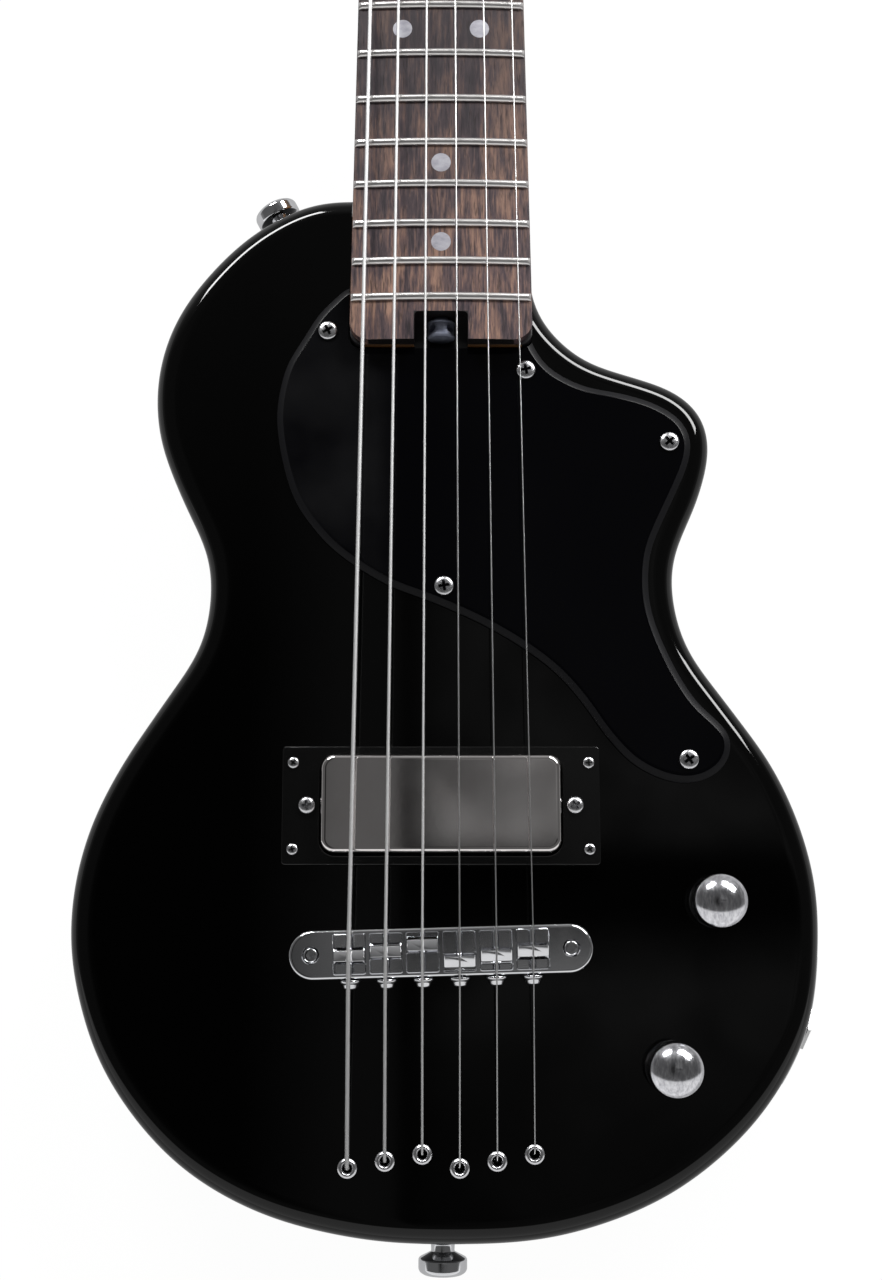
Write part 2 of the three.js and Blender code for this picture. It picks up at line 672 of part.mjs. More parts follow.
// The jack sits square to the body's edge, at the point of the outline nearest its place
const jackY = (JACK_PLACE_SHARE - TAIL_SHARE) * BODY_LENGTH;
const jackZ = bodyTop * JACK_HEIGHT_SHARE;
const jackIndex = bodyOutline.reduce((best, point, place) => {
  const nearer = Math.abs(point.y - jackY) < Math.abs(bodyOutline[best].y - jackY);
  return point.x > 0 && nearer ? place : best;
}, bodyOutline.findIndex((point) => point.x > BODY_WIDTH / 4));

function outlineNormal(place) {
  const before = bodyOutline[(place + bodyOutline.length - 1) % bodyOutline.length];
  const after = bodyOutline[(place + 1) % bodyOutline.length];
  const along = after.clone().sub(before).normalize();
  const outwards = THREE.ShapeUtils.area(bodyOutline) > 0 ? 1 : -1;
  return new THREE.Vector3(along.y * outwards, -along.x * outwards, 0);
}

const jackDirection = outlineNormal(jackIndex);
const jackFoot = new THREE.Vector3(bodyOutline[jackIndex].x, bodyOutline[jackIndex].y, jackZ);
const neckPlateY = boardEnd + HEEL_LENGTH / 2;
const neckScrewPlaces = [[-1, -1], [1, -1], [-1, 1], [1, 1]].map(([across, along]) => new THREE.Vector2(
  across * (NECK_PLATE_WIDTH / 2 - NECK_SCREW_INSET),
  neckPlateY + along * (NECK_PLATE_LENGTH / 2 - NECK_SCREW_INSET),
));
const postPlaces = [-1, 1].map((side) => new THREE.Vector3(side * POST_SPACING / 2, 0, 0)
  .applyAxisAngle(new THREE.Vector3(0, 0, 1), BRIDGE_SLANT)
  .add(bridgePlace));

guitar.add(bodyPiece());

// Neck: heel block, rounded shaft, flat head
function neckSection(y, halfWidth, depth, squareness) {
  const points = [];
  for (let side = 0; side <= NECK_SIDE_POINTS; side += 1) {
    const angle = Math.PI + (side / NECK_SIDE_POINTS) * Math.PI;
    const across = Math.cos(angle);
    const down = Math.sin(angle);
    points.push(new THREE.Vector3(
      halfWidth * Math.sign(across) * Math.abs(across) ** (2 / squareness),
      y,
      boardSeat - depth * Math.abs(down) ** (2 / squareness),
    ));
  }
  return points;
}

function headOutline() {
  const side = HEAD_SIDE_SHARES.map(([wide, along]) => (
    new THREE.Vector2(wide * HEAD_WIDTH / 2, headStart + along * HEAD_LENGTH)));
  const mirrored = [...side].reverse().map((point) => new THREE.Vector2(-point.x, point.y));
  return closedOutline([...side, ...mirrored], HEAD_OUTLINE_STEPS);
}

function neckPiece() {
  const heel = plate(heelOutline(0), heelBottom, boardSeat);
  const heelFinish = boardEnd + HEEL_LENGTH;
  const sections = [
    [heelFinish - HEEL_CORNER, HEEL_THICKNESS - SEAT_GAP, 9],
    [heelFinish + HEEL_CORNER, HEEL_THICKNESS - SEAT_GAP, 6],
    [heelFinish + 4 * HEEL_CORNER, NECK_DEPTH_AT_BODY + 1 / 2 * HEEL_CORNER / 2, 3],
    [heelFinish + 8 * HEEL_CORNER, NECK_DEPTH_AT_BODY, 2.3],
    [(heelFinish + SCALE_LENGTH) / 2, (NECK_DEPTH_AT_BODY + NECK_DEPTH_AT_NUT) / 2, 2.3],
    [SCALE_LENGTH - 6 * HEEL_CORNER, NECK_DEPTH_AT_NUT, 2.3],
    [SCALE_LENGTH, NECK_DEPTH_AT_NUT, 2.6],
    [headStart, NECK_DEPTH_AT_NUT + HEEL_CORNER / 4, 4],
  ].map(([y, depth, squareness]) => {
    const halfWidth = Math.min(boardHalfWidth(y), NECK_WIDTH_AT_END / 2);
    return neckSection(y, halfWidth, depth, squareness);
  });
  const shaft = skinOf(sections, 'y');
  const head = layered(headOutline(), [
    [HEAD_EDGE, headBack],
    [0, headBack + HEAD_EDGE],
    [0, headFace - HEAD_EDGE],
    [HEAD_EDGE, headFace],
  ]);
  const notch = block(-NOTCH_WIDTH / 2, NOTCH_WIDTH / 2, boardEnd - CUT_OVERRUN, boardEnd + NOTCH_LENGTH,
    boardSeat - NOTCH_DEPTH, boardSeat + CUT_OVERRUN);
  const rodRoom = block(-ROD_RADIUS - RUNNING_GAP, ROD_RADIUS + RUNNING_GAP,
    boardEnd, SCALE_LENGTH - ROD_END_MARGIN + RUNNING_GAP,
    rodHeight - ROD_RADIUS - RUNNING_GAP, boardSeat + CUT_OVERRUN);
  const tunerHoles = tunerPlaces.map((place) => post(place.x, place.y, headBack - CUT_OVERRUN,
    headFace + CUT_OVERRUN, TUNER_COLLAR_RADIUS + RUNNING_GAP, SMALL_SIDES));
  const pilotHoles = neckScrewPlaces.map((place) => post(place.x, place.y, heelBottom - CUT_OVERRUN,
    heelBottom + NECK_SCREW_REACH + RUNNING_GAP, NECK_SCREW_RADIUS + RUNNING_GAP, SCREW_SIDES));
  const shelfStep = block(-HEAD_WIDTH, HEAD_WIDTH, headStart - SEAT_GAP, headStart + HEAD_LENGTH,
    headFace, boardTop);
  const whole = join(heel, shaft, head);
  return piece('neck', cut(whole, notch, rodRoom, ...tunerHoles, ...pilotHoles, shelfStep), 'maple');
}
guitar.add(neckPiece());

// Fretboard, crowned across, with its frets pressed in
function boardSection(y, halfWidth) {
  const points = [new THREE.Vector3(halfWidth, y, boardBottom), new THREE.Vector3(-halfWidth, y, boardBottom)];
  for (let facet = 0; facet <= BOARD_FACETS; facet += 1) {
    const x = THREE.MathUtils.lerp(-halfWidth, halfWidth, facet / BOARD_FACETS);
    points.push(new THREE.Vector3(x, y, boardTop - crownDrop(x)));
  }
  return points;
}

function fretBar(fret) {
  const y = fretPlace(fret);
  const halfWidth = boardHalfWidth(y) - FRET_END_INSET;
  const sections = [];
  for (let facet = 0; facet <= BOARD_FACETS; facet += 1) {
    const x = THREE.MathUtils.lerp(-halfWidth, halfWidth, facet / BOARD_FACETS);
    const floor = boardTop - crownDrop(x);
    sections.push([
      new THREE.Vector3(x, y - FRET_WIDTH / 2, floor - FRET_SINK),
      new THREE.Vector3(x, y + FRET_WIDTH / 2, floor - FRET_SINK),
      new THREE.Vector3(x, y + FRET_CROWN_WIDTH / 2, floor + FRET_HEIGHT),
      new THREE.Vector3(x, y - FRET_CROWN_WIDTH / 2, floor + FRET_HEIGHT),
    ]);
  }
  return skinOf(sections, 'x');
}

function boardPiece() {
  const blank = skinOf([
    boardSection(boardEnd, NECK_WIDTH_AT_END / 2),
    boardSection(SCALE_LENGTH, NECK_WIDTH_AT_NUT / 2),
  ], 'y');
  const notch = plate(
    moved(roundedRectangle(NOTCH_WIDTH, 2 * NOTCH_LENGTH, FRET_WIDTH / 2), 0, boardEnd),
    boardBottom - CUT_OVERRUN,
    boardTop + CUT_OVERRUN,
  );
  const corners = [-1, 1].map((side) => {
    const centreX = side * (NECK_WIDTH_AT_END / 2 - BOARD_CORNER);
    const centreY = boardEnd + BOARD_CORNER;
    const square = block(
      Math.min(centreX, centreX + side * (BOARD_CORNER + CUT_OVERRUN)),
      Math.max(centreX, centreX + side * (BOARD_CORNER + CUT_OVERRUN)),
      boardEnd - CUT_OVERRUN,
      centreY,
      boardBottom - CUT_OVERRUN,
      boardTop + CUT_OVERRUN,
    );
    const kept = post(centreX, centreY, boardBottom - 2 * CUT_OVERRUN, boardTop + 2 * CUT_OVERRUN,
      BOARD_CORNER, 2 * ROUND_SIDES);
    return cut(square, kept);
  });
  const frets = [];
  for (let fret = 1; fret <= LAST_FRET; fret += 1) {
    frets.push(fretBar(fret));
  }
  return piece('fretboard', join(cut(blank, notch, ...corners), ...frets), 'rosewood');
}
guitar.add(boardPiece());

// Nut with a slot for each string
function nutPiece() {
  const near = SCALE_LENGTH + SEAT_GAP;
  const blank = block(-NECK_WIDTH_AT_NUT / 2, NECK_WIDTH_AT_NUT / 2, near, near + NUT_LENGTH,
    boardBottom, boardTop + NUT_ABOVE_BOARD);
  const slots = STRING_DIAMETERS.map((diameter, number) => {
    const x = stringX(number, SCALE_LENGTH);
    const half = diameter / 2 + RUNNING_GAP;
    return block(x - half, x + half, near - CUT_OVERRUN, near + NUT_LENGTH + CUT_OVERRUN,
      stringUnder(number, SCALE_LENGTH) - RUNNING_GAP, boardTop + NUT_ABOVE_BOARD + CUT_OVERRUN);
  });
  return piece('nut', cut(blank, ...slots), 'bone');
}
guitar.add(nutPiece());

// Truss rod with its spoke wheel, one turning piece
function trussRod() {
  const along = new THREE.Vector3(0, 1, 0);
  const rod = turned([[0, WHEEL_LENGTH / 2], [ROD_RADIUS, WHEEL_LENGTH / 2],
    [ROD_RADIUS, SCALE_LENGTH - ROD_END_MARGIN - wheelPlace], [0, SCALE_LENGTH - ROD_END_MARGIN - wheelPlace]],
  new THREE.Vector3(), along, SCREW_SIDES);
  const rim = turned([[0, 0], [WHEEL_RADIUS, 0], [WHEEL_RADIUS, WHEEL_LENGTH], [0, WHEEL_LENGTH]],
    new THREE.Vector3(), along, ROUND_SIDES);
  const holes = [];
  for (let hole = 0; hole < WHEEL_HOLE_COUNT; hole += 1) {
    const angle = (hole + 1 / 2) * 2 * Math.PI / WHEEL_HOLE_COUNT;
    const outwards = new THREE.Vector3(Math.sin(angle), 0, Math.cos(angle));
    holes.push(turned([[0, ROD_RADIUS], [WHEEL_HOLE_RADIUS, ROD_RADIUS],
      [WHEEL_HOLE_RADIUS, WHEEL_RADIUS + CUT_OVERRUN], [0, WHEEL_RADIUS + CUT_OVERRUN]],
    new THREE.Vector3(0, WHEEL_LENGTH / 2, 0), outwards, SCREW_SIDES));
  }
  const mesh = piece('truss_rod', join(cut(rim, ...holes), rod), 'darkSteel');
  mesh.position.set(0, wheelPlace, rodHeight);
  return mesh;
}
guitar.add(trussRod());

// Pickguard, cut round the neck's heel
function guardPiece() {
  const bottom = bodyTop + SEAT_GAP;
  const sheet = layered(closedOutline(GUARD_OUTLINE_SHARES.map(placeOf), GUARD_OUTLINE_STEPS), [
    [0, bottom],
    [0, bottom + GUARD_THICKNESS - GUARD_BEVEL],
    [GUARD_BEVEL, bottom + GUARD_THICKNESS],
  ]);
  const heelRoom = plate(heelOutline(2 * RUNNING_GAP), bodyTop - CUT_OVERRUN,
    bottom + GUARD_THICKNESS + CUT_OVERRUN);
  const heelScrew = new THREE.Vector2(NECK_WIDTH_AT_END / 2 - HEEL_SCREW_INSET,
    boardEnd - HEEL_SCREW_REACH);
  const screwHoles = [...GUARD_SCREW_PLACE_SHARES.map(placeOf), heelScrew].map((place) => (
    post(place.x, place.y, bodyTop - CUT_OVERRUN, bodyTop + GUARD_THICKNESS + CUT_OVERRUN,
      GUARD_SCREW_RADIUS, SCREW_SIDES)));
  return piece('pickguard', cut(sheet, heelRoom, ...screwHoles), 'guard');
}
guitar.add(guardPiece());

// Pickup ring
const ringBottom = bodyTop + SEAT_GAP;
const ringTop = ringBottom + RING_THICKNESS;
const heightScrewPlaces = [-1, 1].map((side) => (
  new THREE.Vector2(side * HEIGHT_SCREW_SPACING / 2, PICKUP_PLACE)));

function ringPiece() {
  const blank = plate(moved(roundedRectangle(RING_LENGTH, RING_WIDTH, RING_CORNER), 0, PICKUP_PLACE),
    ringBottom, ringTop);
  const window = plate(
    moved(roundedRectangle(COVER_LENGTH + 2 * COVER_GAP, COVER_WIDTH + 2 * COVER_GAP,
      COVER_CORNER + COVER_GAP), 0, PICKUP_PLACE),
    ringBottom - CUT_OVERRUN,
    ringTop + CUT_OVERRUN,
  );
  const holes = heightScrewPlaces.map((place) => post(place.x, place.y, ringBottom - CUT_OVERRUN,
    ringTop + CUT_OVERRUN, HEIGHT_SCREW_RADIUS + RUNNING_GAP, SMALL_SIDES));
  return piece('pickup_ring', cut(blank, window, ...holes), 'guard');
}
guitar.add(ringPiece());

// Pickup: cover over two coils on a base plate with ears
const coverTop = ringTop + COVER_ABOVE_RING;
const coverBottom = coverTop - COVER_HEIGHT;
const basePlateTop = coverBottom - RUNNING_GAP;

function coverPiece() {
  const outline = moved(roundedRectangle(COVER_LENGTH, COVER_WIDTH, COVER_CORNER), 0, PICKUP_PLACE);
  const shell = layered(outline, [
    [0, coverBottom],
    [0, coverTop - COVER_EDGE],
    [COVER_EDGE * (1 - Math.SQRT1_2), coverTop - COVER_EDGE * (1 - Math.SQRT1_2)],
    [COVER_EDGE, coverTop],
  ]);
  const room = plate(inset(outline, COVER_WALL), coverBottom - CUT_OVERRUN, coverTop - 2 * COVER_WALL);
  return piece('pickup_cover', cut(shell, room), 'nickel');
}

function coilsPiece() {
  const base = plate(
    moved(roundedRectangle(COVER_LENGTH, COVER_WIDTH, COVER_CORNER), 0, PICKUP_PLACE),
    basePlateTop - BASE_PLATE_THICKNESS,
    basePlateTop,
  );
  const ears = plate(
    moved(roundedRectangle(HEIGHT_SCREW_SPACING + PICKUP_EAR_WIDTH / 2, PICKUP_EAR_WIDTH, BASE_PLATE_THICKNESS),
      0, PICKUP_PLACE),
    basePlateTop - BASE_PLATE_THICKNESS,
    basePlateTop,
  );
  const coilLength = COVER_LENGTH - 2 * COVER_WALL - 2 * COVER_GAP;
  const bobbins = [-1, 1].map((side) => plate(
    moved(roundedRectangle(coilLength, COIL_WIDTH, COIL_WIDTH / 2 - COVER_GAP), 0,
      PICKUP_PLACE + side * (COIL_WIDTH + COVER_GAP) / 2),
    basePlateTop - SEAT_GAP,
    basePlateTop + COIL_HEIGHT,
  ));
  const magnet = block(-coilLength / 2 + COIL_WIDTH, coilLength / 2 - COIL_WIDTH,
    PICKUP_PLACE - COIL_WIDTH / 2, PICKUP_PLACE + COIL_WIDTH / 2,
    basePlateTop - SEAT_GAP, basePlateTop + COIL_HEIGHT / 3);
  const holes = heightScrewPlaces.map((place) => post(place.x, place.y, coverBottom - COVER_HEIGHT,
    coverTop, HEIGHT_SCREW_RADIUS + RUNNING_GAP, SMALL_SIDES));
  return piece('pickup_coils', cut(join(base, ears, magnet, ...bobbins), ...holes), 'plastic');
}
guitar.add(coverPiece(), coilsPiece());

heightScrewPlaces.forEach((place, number) => {
  const profile = [
    [0, -HEIGHT_SCREW_LENGTH],
    [HEIGHT_SCREW_RADIUS, -HEIGHT_SCREW_LENGTH],
    [HEIGHT_SCREW_RADIUS, 0],
    [HEIGHT_SCREW_HEAD_RADIUS, 0],
    [HEIGHT_SCREW_HEAD_RADIUS, HEIGHT_SCREW_HEAD / 2],
    [HEIGHT_SCREW_HEAD_RADIUS / 2, HEIGHT_SCREW_HEAD],
    [0, HEIGHT_SCREW_HEAD],
  ];
  const geometry = turned(profile, new THREE.Vector3(), new THREE.Vector3(0, 0, 1), SMALL_SIDES);
  const screw = piece(number === 0 ? 'pickup_screw_bass' : 'pickup_screw_treble', geometry, 'chrome');
  screw.position.set(place.x, place.y, ringTop + SEAT_GAP);
  guitar.add(screw);
});

// Bridge, turned a little about the vertical, with all that it carries
const bridge = new THREE.Group();
bridge.position.copy(bridgePlace);
bridge.rotation.z = BRIDGE_SLANT;
guitar.add(bridge);

function bridgeBody() {
  const half = BRIDGE_LENGTH / 2 - BRIDGE_WIDTH / 2;
  const outline = [];
  for (let step = 0; step <= ROUND_SIDES; step += 1) {
    const angle = -Math.PI / 2 + (step / ROUND_SIDES) * Math.PI;
    outline.push(new THREE.Vector2(half + BRIDGE_WIDTH / 2 * Math.cos(angle), BRIDGE_WIDTH / 2 * Math.sin(angle)));
  }
  const left = outline.map((point) => new THREE.Vector2(-point.x, -point.y));
  const bar = layered([...outline, ...left], [
    [BRIDGE_EDGE, bridgeBottom],
    [0, bridgeBottom + BRIDGE_EDGE],
    [0, bridgeTop - BRIDGE_EDGE],
    [BRIDGE_EDGE, bridgeTop],
  ]);
  const pockets = saddles.map(({ x }) => block(
    x - SADDLE_POCKET_WIDTH / 2,
    x + SADDLE_POCKET_WIDTH / 2,
    -SADDLE_POCKET_LENGTH / 2,
    SADDLE_POCKET_LENGTH / 2,
    bridgeBottom + SADDLE_FLOOR,
    bridgeTop + CUT_OVERRUN,
  ));
  const screwHoles = saddles.map(({ x }) => turned(
    [[0, 0], [SADDLE_SCREW_RADIUS + RUNNING_GAP + SEAT_GAP, 0],
      [SADDLE_SCREW_RADIUS + RUNNING_GAP + SEAT_GAP, BRIDGE_WIDTH + 2 * CUT_OVERRUN],
      [0, BRIDGE_WIDTH + 2 * CUT_OVERRUN]],
    new THREE.Vector3(x, -BRIDGE_WIDTH / 2 - CUT_OVERRUN, saddleScrewZ),
    new THREE.Vector3(0, 1, 0),
    SCREW_SIDES,
  ));
  const postHoles = [-1, 1].map((side) => post(side * POST_SPACING / 2, 0, bridgeBottom - CUT_OVERRUN,
    bridgeTop + CUT_OVERRUN, POST_TIP_RADIUS + RUNNING_GAP + SEAT_GAP));
  return piece('bridge_body', cut(bar, ...pockets, ...screwHoles, ...postHoles), 'chrome');
}
bridge.add(bridgeBody());

[-1, 1].forEach((side) => {
  const collarTop = bridgeBottom - RUNNING_GAP;
  const collarBottom = collarTop - POST_COLLAR_HEIGHT;
  const tip = bridgeTop - RUNNING_GAP;
  const profile = [
    [0, bodyTop - POST_DEPTH],
    [POST_RADIUS, bodyTop - POST_DEPTH],
    [POST_RADIUS, collarBottom],
    [POST_COLLAR_RADIUS, collarBottom],
    [POST_COLLAR_RADIUS, collarTop],
    [POST_TIP_RADIUS, collarTop],
    [POST_TIP_RADIUS, tip],
    [0, tip],
  ];
  const stud = turned(profile, new THREE.Vector3(), new THREE.Vector3(0, 0, 1));
  const socket = post(0, 0, tip - POST_SOCKET_DEPTH, tip + CUT_OVERRUN, POST_SOCKET_RADIUS, 6);
  const mesh = piece(side < 0 ? 'bridge_post_bass' : 'bridge_post_treble', cut(stud, socket), 'chrome');
  mesh.position.x = side * POST_SPACING / 2;
  bridge.add(mesh);
});

// Saddles: the three bass ones lean one way and the three treble ones the other
function saddleGeometry(number, top) {
  const facing = number < STRING_COUNT / 2 ? 1 : -1;
  const half = SADDLE_LENGTH / 2;
  const crest = SADDLE_CREST / 2;
  const bottom = bridgeBottom + SADDLE_FLOOR + RUNNING_GAP;
  const profile = [
    [-half, bottom],
    [half, bottom],
    [half, top - SADDLE_CREST / 2],
    [crest, top],
    [-crest, top - SEAT_GAP * 2],
    [-half, top - SADDLE_CREST],
  ].map(([y, z]) => [facing * y, z]);
  const halfWidth = SADDLE_POCKET_WIDTH / 2 - RUNNING_GAP / 2;
  const sections = [-halfWidth, halfWidth].map((x) => profile.map(([y, z]) => new THREE.Vector3(x, y, z)));
  const notchHalf = STRING_DIAMETERS[number] / 2 + RUNNING_GAP;
  const notch = block(-notchHalf, notchHalf, -SADDLE_LENGTH, SADDLE_LENGTH,
    top - SADDLE_NOTCH_DEPTH, top + CUT_OVERRUN);
  const bore = turned(
    [[0, 0], [SADDLE_SCREW_RADIUS + RUNNING_GAP + SEAT_GAP, 0],
      [SADDLE_SCREW_RADIUS + RUNNING_GAP + SEAT_GAP, 2 * SADDLE_LENGTH], [0, 2 * SADDLE_LENGTH]],
    new THREE.Vector3(0, -SADDLE_LENGTH, saddleScrewZ),
    new THREE.Vector3(0, 1, 0),
    SCREW_SIDES,
  );
  return cut(skinOf(sections, 'x'), notch, bore);
}

function saddleScrewGeometry() {
  const half = BRIDGE_WIDTH / 2;
  const profile = [
    [0, -half - RUNNING_GAP - SADDLE_HEAD_LENGTH],
    [SADDLE_HEAD_TIP_RADIUS, -half - RUNNING_GAP - SADDLE_HEAD_LENGTH],
    [SADDLE_HEAD_RADIUS, -half - RUNNING_GAP - SADDLE_HEAD_LENGTH / 2],
    [SADDLE_HEAD_RADIUS, -half - RUNNING_GAP],
    [SADDLE_SCREW_RADIUS, -half - RUNNING_GAP],
    [SADDLE_SCREW_RADIUS, half - SADDLE_SCREW_WALL],
    [0, half - SADDLE_SCREW_WALL],
  ];
  return turned(profile, new THREE.Vector3(), new THREE.Vector3(0, 1, 0), SCREW_SIDES);
}

saddles.forEach(({ x, y, top }, number) => {
  const saddle = piece(`saddle_${number + 1}`, saddleGeometry(number, top), 'chrome');
  saddle.position.set(x, y, 0);
  const screw = piece(`saddle_screw_${number + 1}`, saddleScrewGeometry(), 'chrome');
  screw.position.set(x, 0, saddleScrewZ);
  bridge.add(saddle, screw);
});

// Strings: up through the body, over the saddle and the nut, and round the tuner's post
class PointRoute extends THREE.Curve {
  constructor(points) {
    super();
    this.points = points;
  }

  getPoint(share, target = new THREE.Vector3()) {
    const place = share * (this.points.length - 1);
    const step = Math.min(Math.floor(place), this.points.length - 2);
    return target.lerpVectors(this.points[step], this.points[step + 1], place - step);
  }

  getUtoTmapping(share) {
    return share;
  }
}

function tubeAlong(points, radius) {
  const circle = new THREE.Shape();
  for (let side = 0; side < STRING_SIDES; side += 1) {
    const angle = side / STRING_SIDES * 2 * Math.PI;
    const method = side === 0 ? 'moveTo' : 'lineTo';
    circle[method](radius * Math.cos(angle), radius * Math.sin(angle));
  }
  return new THREE.ExtrudeGeometry(circle, {
    steps: points.length - 1,
    extrudePath: new PointRoute(points),
    bevelEnabled: false,
  });
}

const tunerNutTop = headFace + SEAT_GAP + TUNER_NUT_HEIGHT;

function stringRoute(number) {
  const radius = STRING_DIAMETERS[number] / 2;
  const hole = ferrulePlaces[number];
  const { crest } = saddles[number];
  const crestZ = stringUnder(number, crest.y) + radius;
  const exitZ = bodyTop + STRING_EXIT_HEIGHT + radius;
  const points = [
    new THREE.Vector3(hole.x, hole.y, REAR_FERRULE_DEPTH - RUNNING_GAP - BALL_LENGTH / 2),
    new THREE.Vector3(hole.x, hole.y, exitZ - 2 * STRING_BEND),
    new THREE.Vector3(hole.x, hole.y + STRING_BEND / 4, exitZ - STRING_BEND),
    new THREE.Vector3(hole.x, hole.y + STRING_BEND, exitZ - STRING_BEND / 4),
    new THREE.Vector3(hole.x, hole.y + 2 * STRING_BEND, exitZ),
    new THREE.Vector3(crest.x, crest.y - SADDLE_CREST / 2, crestZ - SEAT_GAP),
    new THREE.Vector3(crest.x, crest.y + SADDLE_CREST / 2, crestZ),
    new THREE.Vector3(stringX(number, SCALE_LENGTH), SCALE_LENGTH, stringUnder(number, SCALE_LENGTH) + radius),
    new THREE.Vector3(
      stringX(number, SCALE_LENGTH),
      SCALE_LENGTH + SEAT_GAP + NUT_LENGTH,
      stringUnder(number, SCALE_LENGTH) + radius,
    ),
  ];
  const tuner = tunerPlaces[number];
  const turnRadius = TUNER_POST_RADIUS + RUNNING_GAP + radius;
  const pitch = 2 * radius + STRING_TURN_GAP;
  const lowest = tunerNutTop + RUNNING_GAP + radius;
  const steps = Math.round(STRING_TURNS * STRING_TURN_STEPS);
  for (let step = 0; step <= steps; step += 1) {
    const turn = step / STRING_TURN_STEPS;
    const angle = -tuner.side * turn * 2 * Math.PI;
    points.push(new THREE.Vector3(
      tuner.x - tuner.side * turnRadius * Math.cos(angle),
      tuner.y - tuner.side * turnRadius * Math.sin(angle),
      lowest + pitch * (STRING_TURNS - turn),
    ));
  }
  return points;
}

for (let number = 0; number < STRING_COUNT; number += 1) {
  const route = stringRoute(number);
  const hole = ferrulePlaces[number];
  const ball = post(hole.x, hole.y, REAR_FERRULE_DEPTH - RUNNING_GAP - BALL_LENGTH,
    REAR_FERRULE_DEPTH - RUNNING_GAP, BALL_RADIUS, SMALL_SIDES);
  const wire = tubeAlong(route, STRING_DIAMETERS[number] / 2);
  guitar.add(piece(`string_${number + 1}`, join(ball, wire), 'steel'));
}

// Tuners: housing with collar and hex nut, post with worm wheel, button with worm
const housingTop = headBack - SEAT_GAP;
const housingBottom = housingTop - TUNER_HOUSING_DEPTH;
const wormOffset = TUNER_GEAR_RADIUS + RUNNING_GAP + TUNER_WORM_RADIUS;
const wormZ = (housingTop + housingBottom) / 2;

function tunerHousing(side) {
  const plan = moved(roundedRectangle(TUNER_HOUSING_WIDTH, TUNER_HOUSING_LENGTH, TUNER_HOUSING_CORNER),
    0, wormOffset / 3);
  const shell = layered(plan, [
    [TUNER_FLOOR, housingBottom],
    [0, housingBottom + TUNER_FLOOR],
    [0, housingTop],
  ]);
  const collar = post(0, 0, housingTop - TUNER_FLOOR, headFace + SEAT_GAP, TUNER_COLLAR_RADIUS,
    SMALL_SIDES);
  const hexNut = post(0, 0, headFace + SEAT_GAP, tunerNutTop, TUNER_NUT_RADIUS, 6);
  const bore = post(0, 0, wormZ, tunerNutTop + CUT_OVERRUN,
    TUNER_POST_RADIUS + RUNNING_GAP + SEAT_GAP, SMALL_SIDES);
  const roomBottom = housingBottom + TUNER_FLOOR;
  const roomTop = housingTop - TUNER_FLOOR;
  const gearRoom = post(0, 0, roomBottom, roomTop, TUNER_GEAR_RADIUS + 2 * RUNNING_GAP, ROUND_SIDES);
  const wormRoom = block(-TUNER_WORM_LENGTH / 2 - RUNNING_GAP, TUNER_WORM_LENGTH / 2 + RUNNING_GAP,
    TUNER_GEAR_RADIUS / 2, wormOffset + TUNER_WORM_RADIUS + RUNNING_GAP, roomBottom, roomTop);
  const reach = TUNER_HOUSING_WIDTH / 2 + CUT_OVERRUN;
  const shaftHole = turned(
    [[0, 0], [TUNER_SHAFT_RADIUS + RUNNING_GAP + SEAT_GAP, 0],
      [TUNER_SHAFT_RADIUS + RUNNING_GAP + SEAT_GAP, reach], [0, reach]],
    new THREE.Vector3(0, wormOffset, wormZ),
    new THREE.Vector3(side, 0, 0),
    SMALL_SIDES,
  );
  return cut(join(shell, collar, hexNut), bore, gearRoom, wormRoom, shaftHole);
}

function tunerPost() {
  const gear = [];
  for (let tooth = 0; tooth < TUNER_GEAR_TEETH; tooth += 1) {
    [[0, TUNER_GEAR_RADIUS], [1 / 2, TUNER_GEAR_RADIUS - TUNER_TOOTH_DEPTH]].forEach(([phase, radius]) => {
      const angle = (tooth + phase) / TUNER_GEAR_TEETH * 2 * Math.PI;
      gear.push(new THREE.Vector2(radius * Math.cos(angle), radius * Math.sin(angle)));
    });
  }
  const half = TUNER_GEAR_THICKNESS / 2;
  const wheel = plate(gear, wormZ - half, wormZ + half);
  const barrel = post(0, 0, wormZ, headFace + TUNER_POST_RISE, TUNER_POST_RADIUS, SMALL_SIDES);
  return join(wheel, barrel);
}

function tunerButton(side) {
  const outwards = new THREE.Vector3(side, 0, 0);
  const start = new THREE.Vector3(0, wormOffset, wormZ);
  const worm = turned([[0, -TUNER_WORM_LENGTH / 2], [TUNER_WORM_RADIUS, -TUNER_WORM_LENGTH / 2],
    [TUNER_WORM_RADIUS, TUNER_WORM_LENGTH / 2], [0, TUNER_WORM_LENGTH / 2]], start, outwards, SMALL_SIDES);
  const reach = TUNER_EDGE_MARGIN + TUNER_SHAFT_REACH;
  const shaft = turned([[0, 0], [TUNER_SHAFT_RADIUS, 0], [TUNER_SHAFT_RADIUS, reach + TUNER_BUTTON_EDGE],
    [0, reach + TUNER_BUTTON_EDGE]], start, outwards, SMALL_SIDES);
  const half = TUNER_BUTTON_THICKNESS / 2;
  const paddle = layered(
    moved(roundedRectangle(TUNER_BUTTON_LENGTH, TUNER_BUTTON_WIDTH, TUNER_BUTTON_CORNER),
      side * (reach + TUNER_BUTTON_LENGTH / 2), wormOffset),
    [
      [TUNER_BUTTON_EDGE, wormZ - half],
      [0, wormZ - half + TUNER_BUTTON_EDGE],
      [0, wormZ + half - TUNER_BUTTON_EDGE],
      [TUNER_BUTTON_EDGE, wormZ + half],
    ],
  );
  return join(worm, shaft, paddle);
}

